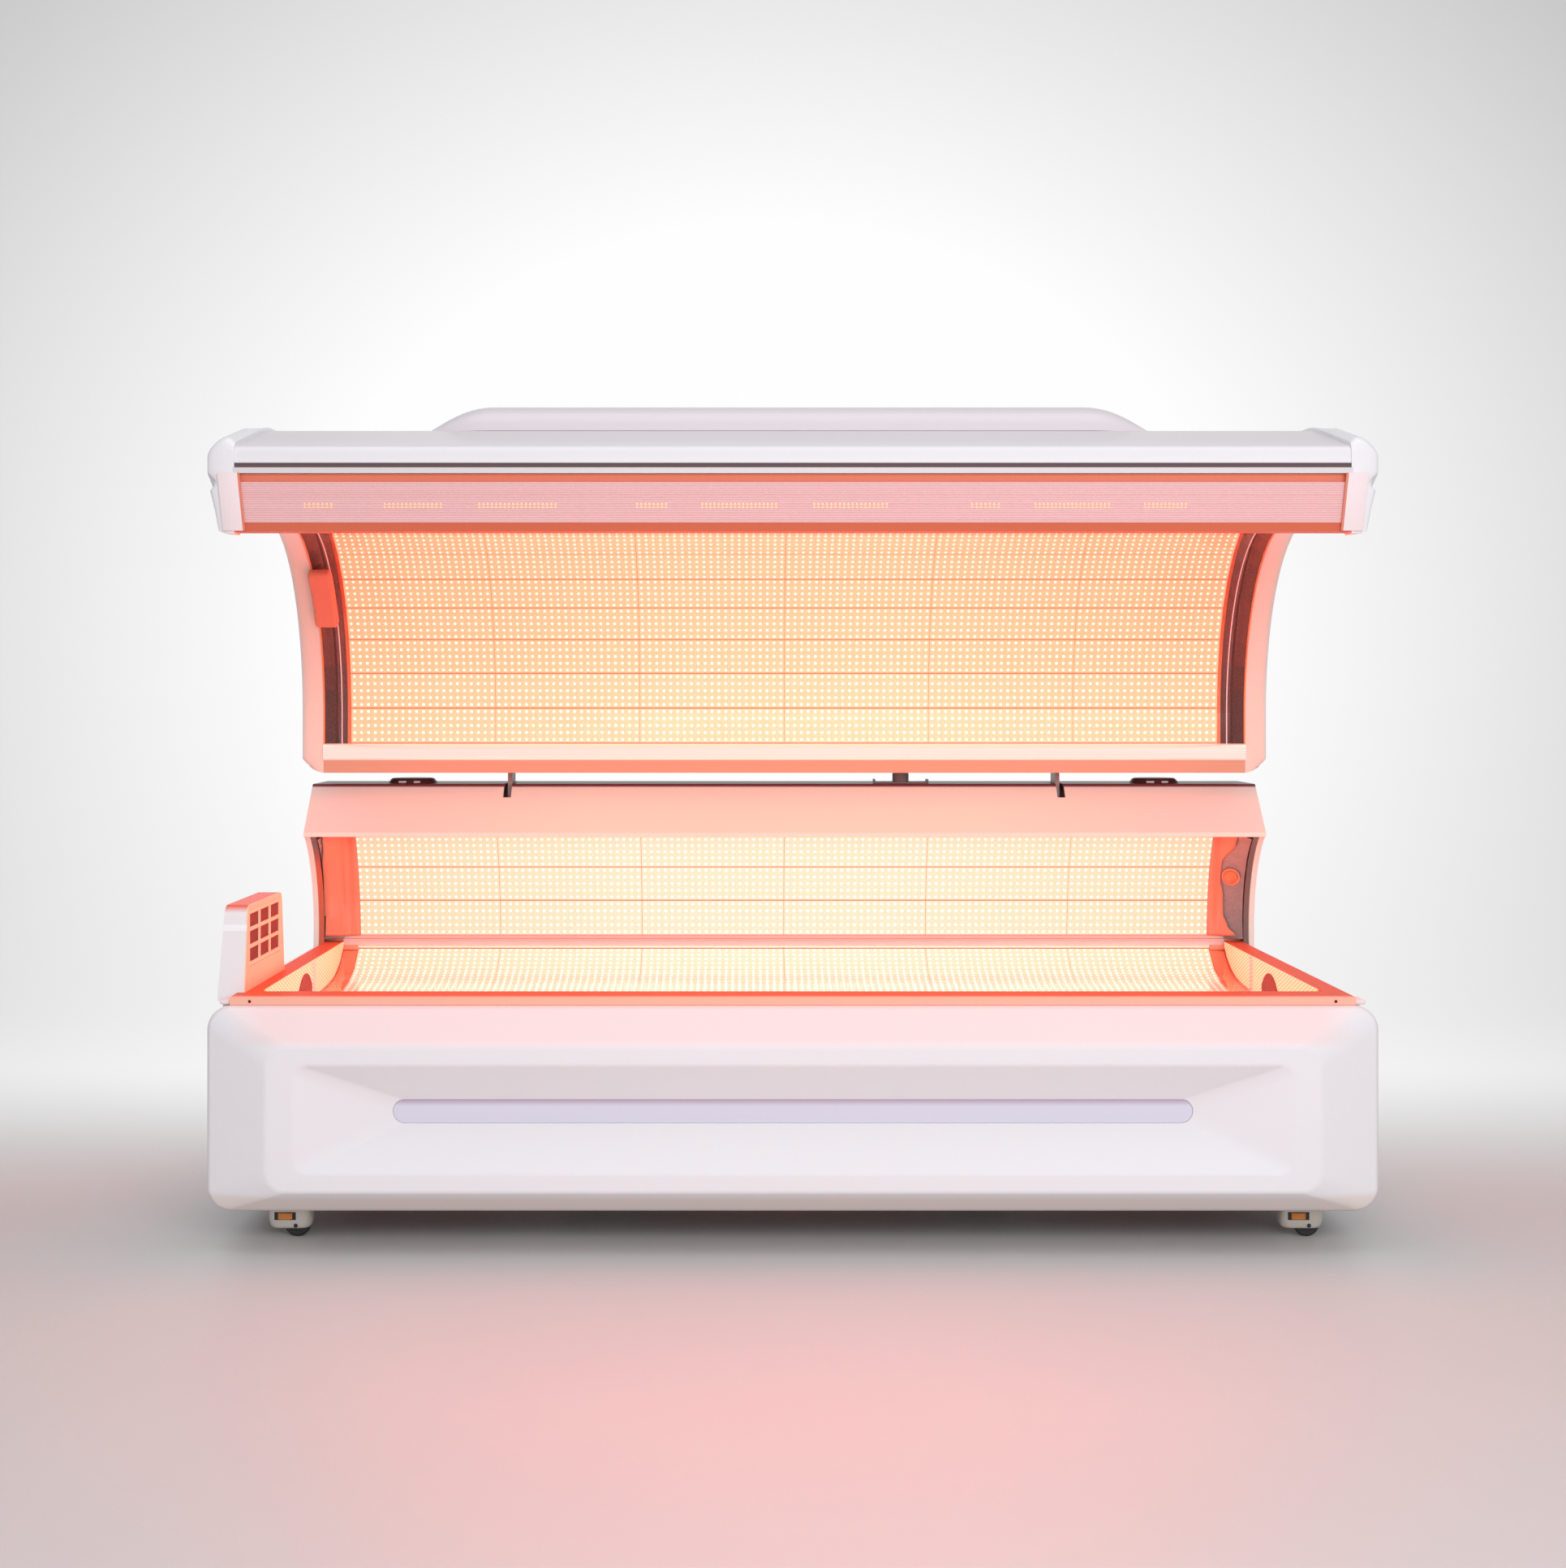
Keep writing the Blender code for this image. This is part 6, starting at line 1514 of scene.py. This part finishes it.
def castor_hood(castor):
    """A castor's rounded hood, with the dark windows that its dial shows in."""
    low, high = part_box(f"{castor}_castor_hood")
    middle = (low + high) / 2
    half = (high - low) / 2
    body = f"{castor}_castor"
    outlines = []
    for z, share in HOOD_STATIONS:
        across = half.x * share
        deep = (half.y + HOOD_PROUD) * share
        corners = [(-across, -deep), (across, -deep), (across, deep), (-across, deep)]
        path = rounded_path([(x, y, HOOD_CORNER * share) for x, y in corners], HOOD_CORNER_STEPS)
        outlines.append([(middle.x + point.x, middle.y + point.y, z) for point in path])
    work = bmesh.new()
    rings = lofted(work, outlines)
    for edges in (rings[0], rings[-1]):
        bmesh.ops.contextual_create(work, geom=edges)
    bmesh.ops.recalc_face_normals(work, faces=work.faces[:])
    hood = finished(work, f"{castor}_castor_shell", HOOD_METAL, body, 60)
    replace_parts(hood, f"{castor}_castor_hood")
    dial_low, dial_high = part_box(f"{castor}_castor_dial")
    dial = (dial_low + dial_high) / 2
    for title, way in (("front", -1), ("rear", 1)):
        near, far = sorted(middle.y + way * (half.y + stand) for stand in WINDOW_STAND)
        frame_low = (dial.x - WINDOW_HALF, near, DIAL_LOW - WINDOW_EDGE)
        frame_high = (dial.x + WINDOW_HALF, far, DIAL_HIGH + WINDOW_EDGE)
        window = soft_box(frame_low, frame_high, 0.0003, 1)
        finished(window, f"{castor}_castor_{title}_window", BLACK_PLASTIC, body)
    points = []
    for spot in range(2 * DIAL_TEETH):
        turn = math.pi * spot / DIAL_TEETH
        reach = DIAL_REACH - TOOTH_DEPTH * (spot % 2)
        points.append((dial.x + reach * math.cos(turn), dial.y + reach * math.sin(turn), DIAL_LOW))
    wheel = prism(points, (0, 0, DIAL_HIGH - DIAL_LOW))
    knob = finished(wheel, f"{castor}_castor_knob", ORANGE_PLASTIC, f"{castor}_dial", 20)
    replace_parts(knob, f"{castor}_castor_dial")


for castor in CASTORS:
    castor_hood(castor)


# Stage

FLOOR_HALF = 6
FLOOR_PLACE = (0, -2, 0)
FLOOR_COLOURS = ((0.61, 0.59, 0.585, 1), (0.63, 0.615, 0.605, 1))
FLOOR_ROUGHNESS = 0.45
BACK_START = 3.9
BACK_HEIGHT = 6
BACK_FADE = (-0.4, 1.7)
SWEEP_ROUND = 1.5
SWEEP_STEPS = 12
GLOW_COLOURS = ((0.99, 0.99, 0.99, 1), (0.50, 0.50, 0.50, 1))
GLOW_HEIGHT = 1.35
GLOW_STRETCH = 0.85
GLOW_REACH = (1.5, 3.9)
AIR_COLOUR = (0.95, 0.96, 1.0, 1)
AIR_STRENGTH = 0.52
SENSOR_WIDTH = 36
# Name, place, aim, width, height, power, colour and whether reflections show the lamp
LAMPS = (
    ("overhead_softbox", (0, -0.9, 4.2), (0, 0.1, 0.6), 4.0, 2.2, 26, (1, 1, 1), True),
    ("front_fill", (0.9, -5.6, 2.2), (0, 0, 0.4), 3.6, 2.4, 160, (1, 1, 1), False),
    ("led_spill", (0, -1.45, 0.80), (0, -2.2, 0), 1.1, 0.10, 2.4, (1, 0.10, 0.09), False),
)


def floor_finish():
    """Pale studio floor that fades into a white sweep behind the bed; the sweep's glow is a painted pool of
    light, white round a spot and greyer towards the corners.
    """
    material, tree, shader = new_material("studio_sweep")
    place = object_place(tree)
    axes = split(tree, place)
    cloud = spread(tree, noise(tree, place, 0.8, 2), 0.3, 0.7)
    plug(tree, shader.inputs["Base Color"], blend_colours(tree, cloud, *FLOOR_COLOURS))
    plug(tree, shader.inputs["Roughness"], FLOOR_ROUGHNESS)
    glow = add(tree, "ShaderNodeEmission")
    # painted pool of light: the sweep's glow fades from white to grey away from a spot behind the bed
    rise = calculate(tree, "SUBTRACT", axes["Z"], GLOW_HEIGHT)
    side = calculate(tree, "MULTIPLY", axes["X"], GLOW_STRETCH)
    far = calculate(tree, "ADD", calculate(tree, "POWER", rise, 2), calculate(tree, "POWER", side, 2))
    corner = spread(tree, calculate(tree, "SQRT", far), *GLOW_REACH)
    plug(tree, glow.inputs["Color"], blend_colours(tree, corner, *GLOW_COLOURS))
    rays = add(tree, "ShaderNodeLightPath").outputs
    seen = calculate(tree, "MAXIMUM", rays["Is Camera Ray"], rays["Is Glossy Ray"])
    seen = calculate(tree, "MAXIMUM", seen, rays["Is Transmission Ray"])
    back = spread(tree, axes["Y"], *BACK_FADE, interpolation_type="SMOOTHSTEP")
    mixed_surface(tree, calculate(tree, "MULTIPLY", seen, back), shader, glow)
    return material


def studio_sweep():
    """The floor, and the wall behind it that it rounds up into."""
    work = bmesh.new()
    place = Matrix.Translation(FLOOR_PLACE)
    bmesh.ops.create_grid(work, x_segments=1, y_segments=1, size=FLOOR_HALF, matrix=place)
    back = [edge for edge in work.edges if all(vert.co.y > BACK_START for vert in edge.verts)]
    raised = bmesh.ops.extrude_edge_only(work, edges=back)["geom"]
    bmesh.ops.translate(work, verts=moved_verts(raised), vec=(0, 0, BACK_HEIGHT))
    round_edges(work, back, SWEEP_ROUND, SWEEP_STEPS)
    bmesh.ops.recalc_face_normals(work, faces=work.faces[:])
    mesh = bpy.data.meshes.new("studio_sweep")
    work.to_mesh(mesh)
    work.free()
    mesh.shade_smooth()
    mesh.materials.append(floor_finish())
    in_scene("studio_sweep", mesh)


def studio_light():
    """The even light of the room and the soft lamps."""
    world = bpy.data.worlds.new("studio")
    world.use_nodes = True
    background = world.node_tree.nodes["Background"]
    background.inputs["Color"].default_value = AIR_COLOUR
    background.inputs["Strength"].default_value = AIR_STRENGTH
    bpy.context.scene.world = world
    for name, place, aim, width, height, power, colour, reflected in LAMPS:
        lamp = bpy.data.lights.new(name, "AREA")
        lamp.color = colour
        lamp.shape = "RECTANGLE"
        lamp.size = width
        lamp.size_y = height
        lamp.energy = power
        holder = in_scene(name, lamp)
        holder.location = place
        holder.rotation_euler = (Vector(aim) - Vector(place)).to_track_quat("-Z", "Y").to_euler()
        holder.visible_camera = False
        holder.visible_glossy = reflected


def photo_camera():
    """The camera that the photograph was fitted with."""
    camera = bpy.data.cameras.new("camera")
    camera.sensor_width = SENSOR_WIDTH
    camera.lens = FOCAL_PIXELS / PHOTO_HEIGHT * camera.sensor_width
    camera.shift_x = SIDE_SHIFT
    camera.shift_y = HORIZON_SHIFT
    holder = in_scene("camera", camera)
    holder.location = CAMERA_PLACE
    holder.rotation_euler = (math.pi / 2, 0, 0)
    bpy.context.scene.camera = holder
    bpy.context.scene.view_settings.view_transform = "Standard"


studio_sweep()
studio_light()
photo_camera()
